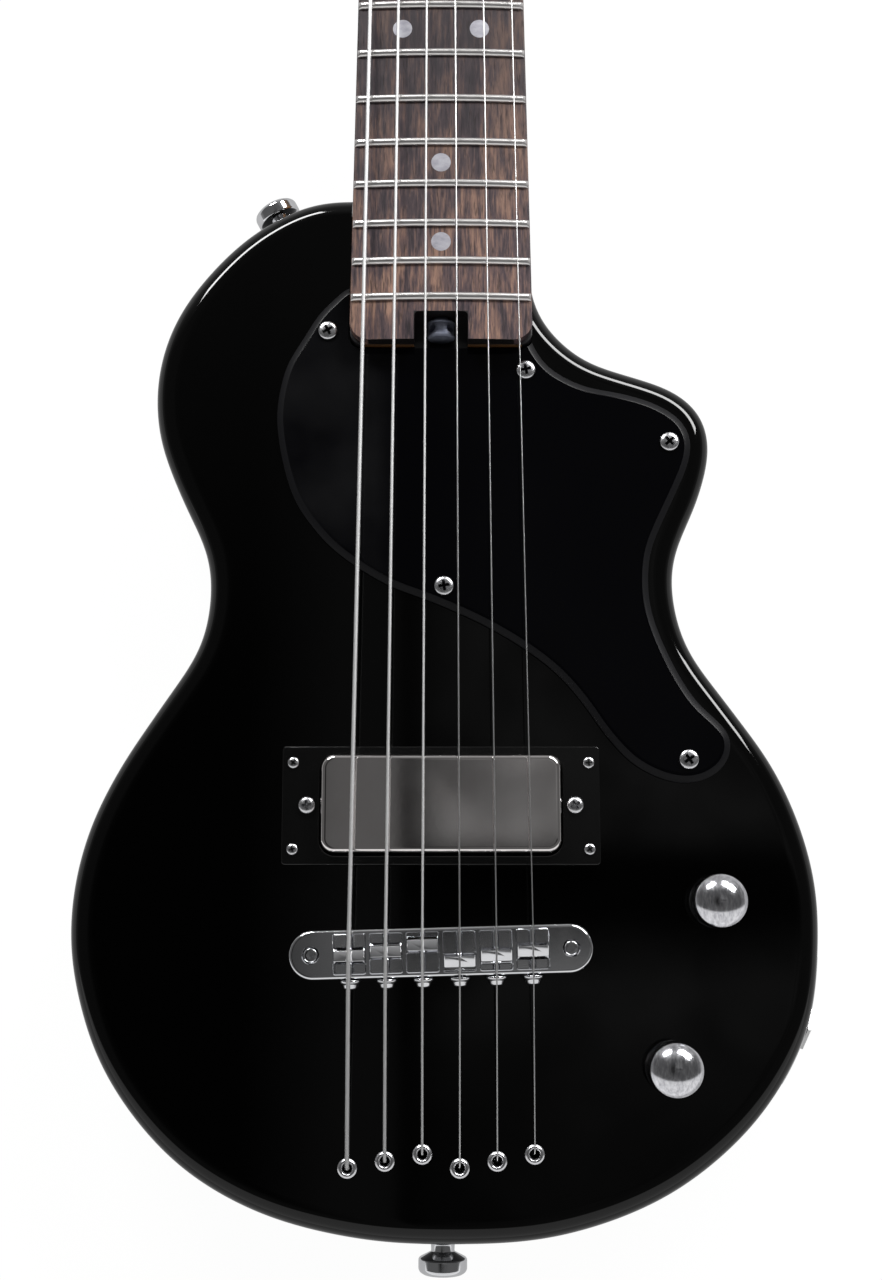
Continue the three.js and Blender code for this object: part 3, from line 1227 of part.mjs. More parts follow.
tunerPlaces.forEach(({ side, x, y }, number) => {
  const housing = piece(`tuner_housing_${number + 1}`, tunerHousing(side), 'chrome');
  const barrel = piece(`tuner_post_${number + 1}`, tunerPost(), 'chrome');
  const button = piece(`tuner_button_${number + 1}`, tunerButton(side), 'chrome');
  const tuner = new THREE.Group();
  tuner.position.set(x, y, 0);
  tuner.add(housing, barrel, button);
  guitar.add(tuner);
});

// Knobs on their pots
function knobGeometry() {
  const bottom = bodyTop + KNOB_LIFT;
  const profile = [[0, -POT_HEIGHT / 2], [KNOB_SHAFT_RADIUS, -POT_HEIGHT / 2],
    [KNOB_SHAFT_RADIUS, bottom + KNOB_HOLLOW_DEPTH - bodyTop]];
  profile.push([KNOB_HOLLOW_RADIUS, bottom + KNOB_HOLLOW_DEPTH - bodyTop]);
  profile.push([KNOB_HOLLOW_RADIUS, KNOB_LIFT]);
  profile.push([KNOB_RADIUS, KNOB_LIFT]);
  for (let step = 0; step <= KNOB_DOME_STEPS; step += 1) {
    const angle = (step / KNOB_DOME_STEPS) * Math.PI / 2;
    profile.push([
      step === KNOB_DOME_STEPS ? 0 : KNOB_RADIUS * Math.cos(angle),
      KNOB_SKIRT + (KNOB_HEIGHT - KNOB_SKIRT) * Math.sin(angle) + KNOB_LIFT,
    ]);
  }
  return turned(profile, new THREE.Vector3(), new THREE.Vector3(0, 0, 1), ROUND_SIDES);
}

function potGeometry() {
  const ceiling = -CONTROL_CEILING - SEAT_GAP;
  const can = post(0, 0, ceiling - POT_HEIGHT, ceiling, POT_RADIUS);
  const bushing = post(0, 0, ceiling - SEAT_GAP, POT_BUSHING_RISE, POT_BUSHING_RADIUS, SMALL_SIDES);
  const bore = post(0, 0, -POT_HEIGHT / 2 - RUNNING_GAP - CONTROL_CEILING, POT_BUSHING_RISE + CUT_OVERRUN,
    KNOB_SHAFT_RADIUS + RUNNING_GAP + SEAT_GAP, SMALL_SIDES);
  return cut(join(can, bushing), bore);
}

[['volume', VOLUME_PLACE_SHARES], ['tone', TONE_PLACE_SHARES]].forEach(([name, shares]) => {
  const place = placeOf(shares);
  const knob = piece(`${name}_knob`, knobGeometry(), 'chrome');
  const pot = piece(`${name}_pot`, potGeometry(), 'steel');
  const control = new THREE.Group();
  control.position.set(place.x, place.y, bodyTop);
  control.add(knob, pot);
  guitar.add(control);
});

// Back cover of the control cavity, let in flush
guitar.add(piece('control_cover', plate(
  inset(cavityOutline, -CONTROL_COVER_LIP + RUNNING_GAP),
  SEAT_GAP,
  CONTROL_COVER_THICKNESS,
), 'guard'));

// Jack and its curved plate
function jackPlate() {
  const half = JACK_PLATE_LENGTH / 2;
  const spacing = bodyOutline[jackIndex].distanceTo(bodyOutline[(jackIndex + 1) % bodyOutline.length]);
  const outer = [];
  const inner = [];
  for (let step = 0; step <= JACK_PLATE_STEPS; step += 1) {
    const run = THREE.MathUtils.lerp(-half, half, step / JACK_PLATE_STEPS) / spacing;
    const before = Math.floor(run);
    const count = bodyOutline.length;
    const a = bodyOutline[(jackIndex + before + count) % count];
    const b = bodyOutline[(jackIndex + before + 1 + count) % count];
    const at = a.clone().lerp(b, run - before);
    const normalA = outlineNormal((jackIndex + before + count) % count);
    const normalB = outlineNormal((jackIndex + before + 1 + count) % count);
    const normal = normalA.lerp(normalB, run - before).normalize();
    const outwards = new THREE.Vector2(normal.x, normal.y);
    inner.push(at.clone().addScaledVector(outwards, RUNNING_GAP));
    outer.push(at.clone().addScaledVector(outwards, RUNNING_GAP + JACK_PLATE_THICKNESS));
  }
  const blank = plate([...outer, ...inner.reverse()], jackZ - JACK_PLATE_HEIGHT / 2,
    jackZ + JACK_PLATE_HEIGHT / 2);
  const hole = turned(
    [[0, -JACK_NUT_RADIUS], [JACK_BUSHING_RADIUS + RUNNING_GAP, -JACK_NUT_RADIUS],
      [JACK_BUSHING_RADIUS + RUNNING_GAP, JACK_NUT_RADIUS], [0, JACK_NUT_RADIUS]],
    jackFoot,
    jackDirection,
  );
  return piece('jack_plate', cut(blank, hole), 'chrome');
}
guitar.add(jackPlate());

function outputJack() {
  const nutFoot = 2 * RUNNING_GAP + JACK_PLATE_THICKNESS;
  const mouth = nutFoot + JACK_NUT_HEIGHT + SEAT_GAP;
  const bushing = turned([[0, -JACK_LENGTH], [JACK_BUSHING_RADIUS, -JACK_LENGTH],
    [JACK_BUSHING_RADIUS, mouth], [0, mouth]], jackFoot, jackDirection);
  const nut = turned([[0, nutFoot], [JACK_NUT_RADIUS, nutFoot],
    [JACK_NUT_RADIUS, nutFoot + JACK_NUT_HEIGHT], [0, nutFoot + JACK_NUT_HEIGHT]], jackFoot, jackDirection, 6);
  const barrel = turned([[0, -JACK_LENGTH - 1 / 4 * JACK_BARREL_LENGTH],
    [JACK_BARREL_RADIUS, -JACK_LENGTH - 1 / 4 * JACK_BARREL_LENGTH],
    [JACK_BARREL_RADIUS, -JACK_LENGTH + JACK_BARREL_LENGTH], [0, -JACK_LENGTH + JACK_BARREL_LENGTH]],
  jackFoot, jackDirection);
  const bore = turned([[0, -JACK_LENGTH], [JACK_BORE_RADIUS, -JACK_LENGTH],
    [JACK_BORE_RADIUS, mouth + CUT_OVERRUN], [0, mouth + CUT_OVERRUN]], jackFoot, jackDirection);
  return piece('output_jack', cut(join(bushing, nut, barrel), bore), 'steel');
}
guitar.add(outputJack());

// Strap buttons, one in the tail and one in the upper horn
function strapButton(name, place, direction) {
  const profile = [
    [0, 0],
    [STRAP_FOOT_RADIUS, 0],
    [STRAP_STEM_RADIUS, STRAP_FOOT_RADIUS - STRAP_STEM_RADIUS],
    [STRAP_STEM_RADIUS, STRAP_BUTTON_LENGTH - STRAP_CAP_THICKNESS - STRAP_CONE_HEIGHT],
    [STRAP_CAP_RADIUS, STRAP_BUTTON_LENGTH - STRAP_CAP_THICKNESS],
    [STRAP_CAP_RADIUS, STRAP_BUTTON_LENGTH - STRAP_CAP_THICKNESS / 3],
    [STRAP_CAP_RADIUS * 3 / 4, STRAP_BUTTON_LENGTH],
    [0, STRAP_BUTTON_LENGTH],
  ];
  const foot = place.clone().addScaledVector(direction, RUNNING_GAP);
  return piece(name, turned(profile, foot, direction), 'chrome');
}

function nearestOutline(target) {
  return bodyOutline.reduce((best, point, place) => (
    point.distanceTo(target) < bodyOutline[best].distanceTo(target) ? place : best), 0);
}

[['strap_button_tail', placeOf([TAIL_BUTTON_SHARE, 0])], ['strap_button_horn', placeOf(HORN_BUTTON_SHARES)]]
  .forEach(([name, target]) => {
    const index = nearestOutline(target);
    const height = bodyTop * STRAP_HEIGHT_SHARE;
    const place = new THREE.Vector3(bodyOutline[index].x, bodyOutline[index].y, height);
    guitar.add(strapButton(name, place, outlineNormal(index)));
  });

// Neck plate with its four screws, let in flush with the back
function neckPlate() {
  const sheet = layered(
    moved(roundedRectangle(NECK_PLATE_WIDTH, NECK_PLATE_LENGTH, NECK_PLATE_CORNER), 0, neckPlateY),
    [[0, NECK_SCREW_HEAD_SINK], [0, NECK_SCREW_HEAD_SINK + NECK_PLATE_THICKNESS - NECK_SCREW_HEAD_SINK]],
  );
  const screws = neckScrewPlaces.map((place) => post(place.x, place.y, NECK_SCREW_HEAD_SINK / 2,
    heelBottom + NECK_SCREW_REACH, NECK_SCREW_RADIUS, SCREW_SIDES));
  return piece('neck_plate', join(sheet, ...screws), 'chrome');
}
guitar.add(neckPlate());

export default guitar;
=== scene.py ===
"""A short-scale electric travel guitar that lies on its back.

Tables and sizes are in millimetres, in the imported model's frame: +X towards the treble side,
+Y towards the head, +Z out of the front. A mesh becomes metres when it is made.
"""
import math

import bmesh
import bpy
import numpy as np
from mathutils import Matrix, Vector


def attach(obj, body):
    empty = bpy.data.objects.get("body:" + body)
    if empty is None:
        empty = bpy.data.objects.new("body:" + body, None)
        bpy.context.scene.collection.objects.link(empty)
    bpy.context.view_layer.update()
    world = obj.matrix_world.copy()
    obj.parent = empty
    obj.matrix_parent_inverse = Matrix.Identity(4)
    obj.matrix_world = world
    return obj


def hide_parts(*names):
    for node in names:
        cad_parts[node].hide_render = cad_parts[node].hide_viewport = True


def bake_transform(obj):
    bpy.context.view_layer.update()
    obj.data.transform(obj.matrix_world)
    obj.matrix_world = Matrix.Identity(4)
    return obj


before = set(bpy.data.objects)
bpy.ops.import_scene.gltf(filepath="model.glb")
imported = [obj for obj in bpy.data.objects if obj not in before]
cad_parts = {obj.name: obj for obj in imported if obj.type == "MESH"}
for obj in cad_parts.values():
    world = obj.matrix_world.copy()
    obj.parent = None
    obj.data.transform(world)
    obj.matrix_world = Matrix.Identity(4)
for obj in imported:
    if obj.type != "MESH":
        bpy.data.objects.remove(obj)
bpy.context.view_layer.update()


# Camera and studio
# The guitar is seen from straight above the bridge, half a metre up, with the camera tipped a
# little towards the head. It lies on a white floor under a dark ceiling, between soft boxes.
MM = 0.001
FRAME_HEIGHT = 1280
FOCAL_PIXELS = 1666.5
SENSOR = 24
EYE = (0, 3.1, 528.9)
EYE_TIP = 9.95

eye = bpy.data.cameras.new("eye")
eye.sensor_fit = "VERTICAL"
eye.sensor_height = SENSOR
eye.lens = SENSOR * FOCAL_PIXELS / FRAME_HEIGHT
eye.clip_start = 0.01
camera = bpy.data.objects.new("camera", eye)
camera.location = Vector(EYE) * MM
camera.rotation_euler = (math.radians(EYE_TIP), 0, 0)
bpy.context.scene.collection.objects.link(camera)
bpy.context.scene.camera = camera
bpy.context.scene.view_settings.view_transform = "Standard"


def operator(operation, swapped=False):
    """A method that adds a Math node for two values, in the given or the swapped order."""
    if swapped:
        return lambda self, other: self.math(operation, other, self)
    return lambda self, other: self.math(operation, self, other)


class Signal:
    """One output of a node. Sums, products and powers of signals add Math nodes."""

    def __init__(self, tree, socket):
        self.tree = tree
        self.socket = socket

    def math(self, operation, *values, clamp=False):
        node = self.tree.nodes.new("ShaderNodeMath")
        node.operation = operation
        node.use_clamp = clamp
        for slot, value in zip(node.inputs, values):
            if isinstance(value, Signal):
                self.tree.links.new(value.socket, slot)
            else:
                slot.default_value = value
        return Signal(self.tree, node.outputs[0])

    __add__, __radd__ = operator("ADD"), operator("ADD", True)
    __sub__, __rsub__ = operator("SUBTRACT"), operator("SUBTRACT", True)
    __mul__, __rmul__ = operator("MULTIPLY"), operator("MULTIPLY", True)
    __truediv__, __pow__ = operator("DIVIDE"), operator("POWER")
    highest = operator("MAXIMUM")

    def wave(self):
        return self.math("SINE", self)

    def ramp(self, low, high):
        """0 below low, 1 above high, and straight between them."""
        return self.math("MULTIPLY", self - low, 1 / (high - low), clamp=True)


class Finish:
    """A surface, with the nodes that colour it. Patterns read Object coordinates, in metres."""

    def __init__(self, tree, slot=None, shader=None):
        self.tree = tree
        self.slot = slot
        self.shader = shader

    def node(self, kind, settings=None, values=None, output=0):
        """Any other node: its settings, its inputs by name, and the output that is wanted."""
        node = self.tree.nodes.new(kind)
        settings = dict(settings or {})
        stops = settings.pop("stops", None)
        for key, value in settings.items():
            setattr(node, key, value)
        if stops:
            ramp = node.color_ramp
            while len(ramp.elements) < len(stops):
                ramp.elements.new(1)
            for element, (place, colour) in zip(ramp.elements, stops):
                element.position = place
                element.color = (*colour, 1)
        self.plug(node, values or {})
        return Signal(self.tree, node.outputs[output])

    def several(self, kind, values, *outputs):
        made = self.node(kind, {}, values)
        node = made.socket.node
        return [Signal(self.tree, node.outputs[output]) for output in outputs]

    def plug(self, node, values):
        """Links each signal to an input, and sets each plain value on one."""
        for key, value in values.items():
            if isinstance(value, Signal):
                self.tree.links.new(value.socket, node.inputs[key])
            else:
                node.inputs[key].default_value = value

    def paint(self, values):
        """Sets or links inputs of the surface's own shader."""
        self.plug(self.shader, values)

    def place(self, stretch=(1, 1, 1)):
        at = self.node("ShaderNodeTexCoord", output="Object")
        return self.node("ShaderNodeMapping", {}, {"Vector": at, "Scale": stretch})

    def axes(self, *names):
        """The named coordinates of a point of the piece, in metres."""
        return self.several("ShaderNodeSeparateXYZ", {"Vector": self.place()}, *names)

    def noise(self, scale, detail=2.0, roughness=0.5, stretch=(1, 1, 1)):
        return self.node("ShaderNodeTexNoise", {}, {
            "Vector": self.place(stretch), "Scale": scale, "Detail": detail, "Roughness": roughness,
        })

    def tint(self, signal, *stops):
        return self.node("ShaderNodeValToRGB", {"stops": stops}, {"Fac": signal})

    def mix(self, factor, first, second):
        """Colours: first where the factor is 0, second where it is 1."""
        return self.node("ShaderNodeMix", {"data_type": "RGBA"}, {0: factor, 6: first, 7: second}, 2)

    def bump(self, height, distance, strength=1.0):
        """A relief whose height signal of 1 stands for a distance in millimetres."""
        normal = self.node("ShaderNodeBump", {}, {
            "Height": height, "Distance": distance * MM, "Strength": strength,
        })
        self.paint({"Normal": normal})


def finish(name, slot, values):
    """A new material on the Principled shader. The slot that it is given is kept on it but not used."""
    material = bpy.data.materials.new(name)
    material.use_nodes = True
    made = Finish(material.node_tree, slot, material.node_tree.nodes["Principled BSDF"])
    made.material = material
    made.paint(values)
    return made


def grey(level):
    return (level, level, level, 1)


def soft_box(name, place, aim, size, power):
    """A rectangular lamp at a place, turned to face a point."""
    lamp = bpy.data.lights.new(name, "AREA")
    lamp.shape = "RECTANGLE"
    lamp.size, lamp.size_y = size
    lamp.energy = power
    box = bpy.data.objects.new(name, lamp)
    box.location = place
    box.rotation_euler = (Vector(aim) - Vector(place)).to_track_quat("-Z", "Y").to_euler()
    bpy.context.scene.collection.objects.link(box)


soft_box("box_left", (-0.42, 0.99, 0.65), (0, 0.1, 0.04), (0.5, 0.18), 9.6)
soft_box("box_right", (0.695, 0.944, 0.72), (0.04, 0.05, 0.05), (0.85, 0.3), 17.6)

# How bright the room is in a mirror. The walls and the horizon fade in along the ray's direction.
TAIL_WALL_LEVEL = 0.7
TAIL_WALL_LEAN = 0.58
TAIL_WALL_EDGE = 0.13
WALL_BLUR = 0.03
HEAD_WALL_LEVEL = 0.2
HORIZON_LEVEL = 0.12
CARD_LEVEL = 0.15
ROOM_LEVEL = 0.1
ZENITH_SHADE = 0.9
STEEPEST = 0.15
world = bpy.data.worlds.new("studio")
world.use_nodes = True
bpy.context.scene.world = world
studio = Finish(world.node_tree)
gaze = studio.node("ShaderNodeTexCoord", output="Generated")
sideways, headwards, upwards = studio.several("ShaderNodeSeparateXYZ", {"Vector": gaze}, "X", "Y", "Z")
towards_tail = -TAIL_WALL_LEAN * upwards - headwards
tail_wall = towards_tail.ramp(TAIL_WALL_EDGE - WALL_BLUR, TAIL_WALL_EDGE + WALL_BLUR)
head_wall = headwards.ramp(0.5, 0.8)
horizon = 1 - upwards.ramp(0.05, 0.3)
# Two pale cards hang overhead. Their edges are slopes of the ray, sideways and headwards.
lean = upwards.highest(STEEPEST)
over_x, over_y = sideways / lean, headwards / lean
round_zenith = 1 - ((over_x * over_x + over_y * over_y) ** 0.5).ramp(0.2, 0.5)
clouds = studio.node("ShaderNodeTexNoise", {}, {
    "Vector": gaze, "Scale": 17.0, "Detail": 3.0, "Distortion": 0.9,
}).ramp(0.34, 0.7)
left_card = 0.6 * over_x.ramp(-0.115, -0.06) * (1 - over_x.ramp(-0.026, -0.0243))
card_across = 0.6 * over_x.ramp(-0.021, -0.003) + 0.4 * over_x.ramp(-0.003, 0.05)
card_head = over_y.ramp(0.042, 0.06)
card_tail = (0.4 + 0.5 * over_y.ramp(-0.12, -0.05)) * (1 - over_y.ramp(-0.03, 0.01))
right_card = card_across * (0.65 + 0.9 * clouds) * (card_head + card_tail)
room = (TAIL_WALL_LEVEL * tail_wall + HEAD_WALL_LEVEL * head_wall + HORIZON_LEVEL * horizon
        + ROOM_LEVEL * (1 - ZENITH_SHADE * round_zenith)
        + CARD_LEVEL * round_zenith * (left_card + right_card))
seen = studio.node("ShaderNodeLightPath", output="Is Camera Ray")
backdrop = world.node_tree.nodes["Background"]
studio.plug(backdrop, {"Color": (1, 1, 1, 1), "Strength": seen + (1 - seen) * room})

FLOOR_HALF = 4.0
FLOOR_DROP = 0.0006
FLOOR_GREY = 0.05
FLOOR_GLOW = 0.97
FLOOR_SHEEN = 0.5
paper = finish("floor_paper", None, {
    "Base Color": grey(FLOOR_GREY), "Roughness": 1.0, "Specular IOR Level": 0.0,
})
shown = paper.node("ShaderNodeLightPath", output="Is Camera Ray")
mirrored = paper.node("ShaderNodeLightPath", output="Is Glossy Ray")
glow = paper.node("ShaderNodeEmission", {}, {
    "Color": (1, 1, 1, 1), "Strength": shown * FLOOR_GLOW + mirrored * FLOOR_SHEEN,
})
both = paper.node("ShaderNodeAddShader", {}, {0: glow, 1: Signal(paper.tree, paper.shader.outputs[0])})
paper.plug(paper.tree.nodes["Material Output"], {"Surface": both})
floor_mesh = bpy.data.meshes.new("floor")
floor_mesh.from_pydata(
    [(x * FLOOR_HALF, y * FLOOR_HALF, -FLOOR_DROP) for x, y in ((-1, -1), (1, -1), (1, 1), (-1, 1))],
    [], [(0, 1, 2, 3)],
)
floor_mesh.materials.append(paper.material)
floor = bpy.data.objects.new("floor", floor_mesh)
bpy.context.scene.collection.objects.link(floor)


# Body
# One piece of light wood, routed from both sides, its edges rounded over, more so in front, then
# filled, sprayed black and buffed to a deep gloss.
SCALE = 546.0
HALF_WIDTH = 109.0
BODY_LENGTH = 313.5
TAIL_SHARE = 0.268
BODY_TOP = 40.0
EDGE_RADIUS = 5.0
FRONT_RADIUS = 6.5
BODY_POINTS = 900
BODY_SHARES = np.array([
    (-0.35, 1.0), (-0.1, 1.0), (0.12, 0.9995), (0.215, 0.988), (0.247, 0.955), (0.252, 0.92),
    (0.268, 0.892), (0.303, 0.868), (0.407, 0.8345), (0.532, 0.819), (0.655, 0.804), (0.73, 0.782),
    (0.757, 0.75), (0.724, 0.697), (0.65, 0.637), (0.64, 0.605), (0.675, 0.549), (0.788, 0.491),
    (0.901, 0.434), (0.971, 0.378), (1.008, 0.322), (1.01, 0.267), (0.982, 0.199), (0.91, 0.145),
    (0.787, 0.092), (0.582, 0.04), (0.3, 0.0065), (0.0, 0.0), (-0.22, 0.005), (-0.466, 0.026),
    (-0.66, 0.0615), (-0.795, 0.105), (-0.901, 0.158), (-0.961, 0.2115), (-0.992, 0.266),
    (-0.987, 0.321), (-0.948, 0.377), (-0.872, 0.433), (-0.766, 0.4906), (-0.663, 0.5486),
    (-0.638, 0.6), (-0.65, 0.637), (-0.73, 0.697), (-0.794, 0.757), (-0.803, 0.8185),
    (-0.751, 0.88), (-0.616, 0.9435), (-0.492, 0.9786),
])


def on_body(shares):
    """Shares of half the body's width and of its length become a place from the scale's end."""
    return np.array(shares) * (HALF_WIDTH, BODY_LENGTH) - (0, TAIL_SHARE * BODY_LENGTH)


def evenly(line, count):
    """A closed line, with its points set at equal steps along it."""
    closed = np.vstack([line, line[:1]])
    run = np.concatenate([[0], np.cumsum(np.linalg.norm(np.diff(closed, axis=0), axis=1))])
    want = np.linspace(0, run[-1], count, endpoint=False)
    return np.stack([np.interp(want, run, closed[:, axis]) for axis in range(line.shape[1])], axis=1)


def curve_through(points, count):
    """A closed curve through the points. Each span is a cubic whose slope at a point comes from
    the points around it, weighed by the square root of their distances."""
    before, after, beyond = (np.roll(points, turn, axis=0) for turn in (1, -1, -2))
    gap0, gap1, gap2 = (np.linalg.norm(end - start, axis=1, keepdims=True) ** 0.5
                        for start, end in ((before, points), (points, after), (after, beyond)))
    leave = ((points - before) / gap0 - (after - before) / (gap0 + gap1) + (after - points) / gap1) * gap1
    arrive = ((after - points) / gap1 - (beyond - points) / (gap1 + gap2) + (beyond - after) / gap2) * gap1
    part = np.linspace(0, 1, 40, endpoint=False)[None, :, None]
    square = 3 * (after - points) - 2 * leave - arrive
    cube = 2 * (points - after) + leave + arrive
    spans = (points[:, None] + leave[:, None] * part + square[:, None] * part ** 2
             + cube[:, None] * part ** 3)
    return evenly(spans.reshape(-1, points.shape[1]), count)


def faired(outline, reach):
    """Each point of a closed line becomes the bell-weighted mean of those around it."""
    steps = np.arange(-3 * reach, 3 * reach + 1)
    weights = np.exp(-0.5 * (steps / reach) ** 2)
    return sum(weight * np.roll(outline, step, axis=0)
               for step, weight in zip(steps, weights / weights.sum()))


def unit(vectors):
    return vectors / np.linalg.norm(vectors, axis=-1, keepdims=True)


def shrunk(outline, distance):
    """A closed outline moved inwards, each point along the bisector of its two sides."""
    arriving = unit(outline - np.roll(outline, 1, axis=0))
    leaving = unit(np.roll(outline, -1, axis=0) - outline)
    along = unit(arriving + leaving)
    ahead = np.roll(outline, -1, axis=0)
    turn = np.sign(np.sum(outline[:, 0] * ahead[:, 1] - ahead[:, 0] * outline[:, 1]))
    mitre = distance / np.maximum(np.sum(along * leaving, axis=1, keepdims=True), 0.5)
    return outline + turn * mitre * np.stack([-along[:, 1], along[:, 0]], axis=1)


def edges(bottom, top, low, high, steps=6):
    """Levels for a plate: inset and height up its side, its edges rounded by two radii, with one
    more ring a little way in on each face, so that the faces shade flat."""
    angle = np.linspace(0, math.pi / 2, steps + 1)
    lower = [(low * (1 - math.cos(a)), bottom + low * (1 - math.sin(a))) for a in angle[::-1]]
    upper = [(high * (1 - math.cos(a)), top - high * (1 - math.sin(a))) for a in angle]
    return [(low * 1.2, bottom), *lower, *upper, (high * 1.2, top)]


def stacked(outline, levels):
    """Rings of an outline, one for each level of inset and height."""
    return np.stack([
        np.column_stack([shrunk(outline, inset), np.full(len(outline), height)])
        for inset, height in levels
    ])


def sewn(name, points, faces):
    """A mesh object from points in millimetres, with doubles merged and faces turned outwards."""
    mesh = bpy.data.meshes.new(name)
    mesh.from_pydata((np.asarray(points).reshape(-1, 3) * MM).tolist(), [], faces)
    sheet = bmesh.new()
    sheet.from_mesh(mesh)
    bmesh.ops.remove_doubles(sheet, verts=sheet.verts, dist=1e-7)
    bmesh.ops.recalc_face_normals(sheet, faces=sheet.faces)
    sheet.to_mesh(mesh)
    sheet.free()
    piece = bpy.data.objects.new(name, mesh)
    bpy.context.scene.collection.objects.link(piece)
    return piece


def skin(name, grid, lids=True, loop=False):
    """Quads between the rows of a grid of rings, whose rows close on themselves. The end rows get
    lids, or with loop the last row joins the first."""
    rows, columns = grid.shape[:2]
    index = np.arange(rows * columns).reshape(rows, columns)
    near = index if loop else index[:-1]
    far = np.roll(index, -1, axis=0) if loop else index[1:]
    quads = np.stack([near, np.roll(near, -1, axis=1), np.roll(far, -1, axis=1), far], axis=-1)
    faces = quads.reshape(-1, 4).tolist()
    if lids and not loop:
        faces += [index[0][::-1].tolist(), index[-1].tolist()]
    return sewn(name, grid, faces)


def carve(piece, cutters, operation="DIFFERENCE"):
    """Cuts closed pieces away from another, or joins them to it, and uses them up."""
    for cutter in cutters:
        step = piece.modifiers.new("carve", "BOOLEAN")
        step.operation = operation
        step.solver = "EXACT"
        step.object = cutter
    bpy.context.view_layer.update()
    depsgraph = bpy.context.evaluated_depsgraph_get()
    mesh = bpy.data.meshes.new_from_object(piece.evaluated_get(depsgraph))
    piece.modifiers.clear()
    piece.data = mesh
    for cutter in cutters:
        bpy.data.objects.remove(cutter)


CREASE = 32


def dress(piece, look, body="guitar", stands_for=(), crease=CREASE):
    """Gives a piece its material, its shading and the body that it moves with."""
    piece.data.materials.clear()
    piece.data.materials.append(look.material)
    piece.data.shade_smooth()
    piece.data.set_sharp_from_angle(angle=math.radians(crease))
    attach(piece, body)
    if stands_for:
        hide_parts(*stands_for)


def dress_mover(piece, look, name, crease=CREASE):
    """Dresses a piece that stands for a node and moves with the body of the same name."""
    dress(piece, look, name, [name], crease)


def circle(sides, radius=1.0):
    angle = np.arange(sides) / sides * 2 * math.pi
    return radius * np.stack([np.cos(angle), np.sin(angle)], axis=1)


def block(outline, bottom, top):
    """A cutter with upright sides over an outline."""
    return skin("cutter", stacked(outline, [(0, bottom), (0, top)]))


def peg(x, y, bottom, top, radius, sides=48):
    """An upright round cutter."""
    return block(circle(sides, radius) + (x, y), bottom, top)


def box_between(low, high):
    """A square cutter between two corners."""
    outline = np.array([(low[0], low[1]), (high[0], low[1]), (high[0], high[1]), (low[0], high[1])], float)
    return block(outline, low[2], high[2])


def rounded_rectangle(width, length, corner, centre=(0, 0), steps=10):
    """A rectangle with round corners, its straight sides cut into steps too."""
    quarter = np.linspace(0, math.pi / 2, steps + 1)
    turns = [(1, 1, 0), (-1, 1, 1), (-1, -1, 2), (1, -1, 3)]
    arcs = [np.stack([
        side * (width / 2 - corner) + corner * np.cos(quarter + turn * math.pi / 2),
        end * (length / 2 - corner) + corner * np.sin(quarter + turn * math.pi / 2),
    ], axis=1) for side, end, turn in turns]
    return np.vstack(arcs) + centre


BOARD_END = SCALE * 2 ** (-18 / 12) - 13.5
HEEL_LENGTH = 50.0
HEEL_FINISH = BOARD_END + HEEL_LENGTH
HEEL_CORNER = 4.0
BOARD_END_WIDTH = 55.7
NUT_WIDTH = 43.0
POCKET_FLOOR = 24.0
POCKET_GAP = 0.2
PICKUP_Y = 39.5
BRIDGE_Y = -2.3
SLANT = math.radians(1.6)
POST_SPACING = 74.0
VOLUME = on_body((0.731, 0.3062))
TONE = on_body((0.605, 0.1567))
FERRULES = np.stack([np.linspace(-26.5, 26.5, 6), -62.5 + 1.9 * (np.arange(6) % 3)], axis=1)
CAVITY_SHARES = np.array([
    (0.56, 0.35), (0.78, 0.366), (0.885, 0.32), (0.9, 0.25), (0.84, 0.178), (0.72, 0.118),
    (0.585, 0.1), (0.49, 0.13), (0.47, 0.2), (0.5, 0.29),
])
PLATE_Y = BOARD_END + HEEL_LENGTH / 2


def board_half(y):
    """Half the board's width at a distance from the scale's end: straight from heel to nut."""
    share = (np.asarray(y) - BOARD_END) / (SCALE - BOARD_END)
    return (BOARD_END_WIDTH + (NUT_WIDTH - BOARD_END_WIDTH) * share) / 2


def heel_outline(gap, reach=0.0):
    """Plan of the neck's heel: straight sides and two round corners at its end."""
    half, corner = BOARD_END_WIDTH / 2 + gap, HEEL_CORNER
    quarter = np.linspace(0, math.pi / 2, 9)
    left = np.stack([-half + corner - corner * np.cos(quarter),
                     BOARD_END - gap + corner - corner * np.sin(quarter)], axis=1)
    wide, end = float(board_half(HEEL_FINISH)) + gap, HEEL_FINISH + reach
    return np.vstack([[(wide, end), (-wide, end)], left, left[::-1] * (-1, 1)])


def on_bridge(points):
    """Places in the bridge's own frame, turned by its slant and set at the scale's end."""
    points = np.asarray(points, float)
    x, y = points[..., 0], points[..., 1]
    turned = [x * math.cos(SLANT) - y * math.sin(SLANT),
              x * math.sin(SLANT) + y * math.cos(SLANT) + BRIDGE_Y]
    return np.stack(turned + [points[..., axis] for axis in range(2, points.shape[-1])], axis=-1)


body_outline = faired(curve_through(on_body(BODY_SHARES), BODY_POINTS), 5)
OUTLINE_STEP = np.linalg.norm(body_outline[1] - body_outline[0])
cavity_outline = curve_through(on_body(CAVITY_SHARES), 120)
POSTS = on_bridge([(-POST_SPACING / 2, 0), (POST_SPACING / 2, 0)])


def beam(start, end, radius, sides=32):
    """A round cutter between two points."""
    start, end = np.array(start, float), np.array(end, float)
    ring = np.column_stack([circle(sides, radius), np.zeros(sides)])
    turn = np.array(Vector(end - start).to_track_quat("Z", "Y").to_matrix())
    return skin("cutter", np.stack([ring @ turn.T + start, ring @ turn.T + end]))


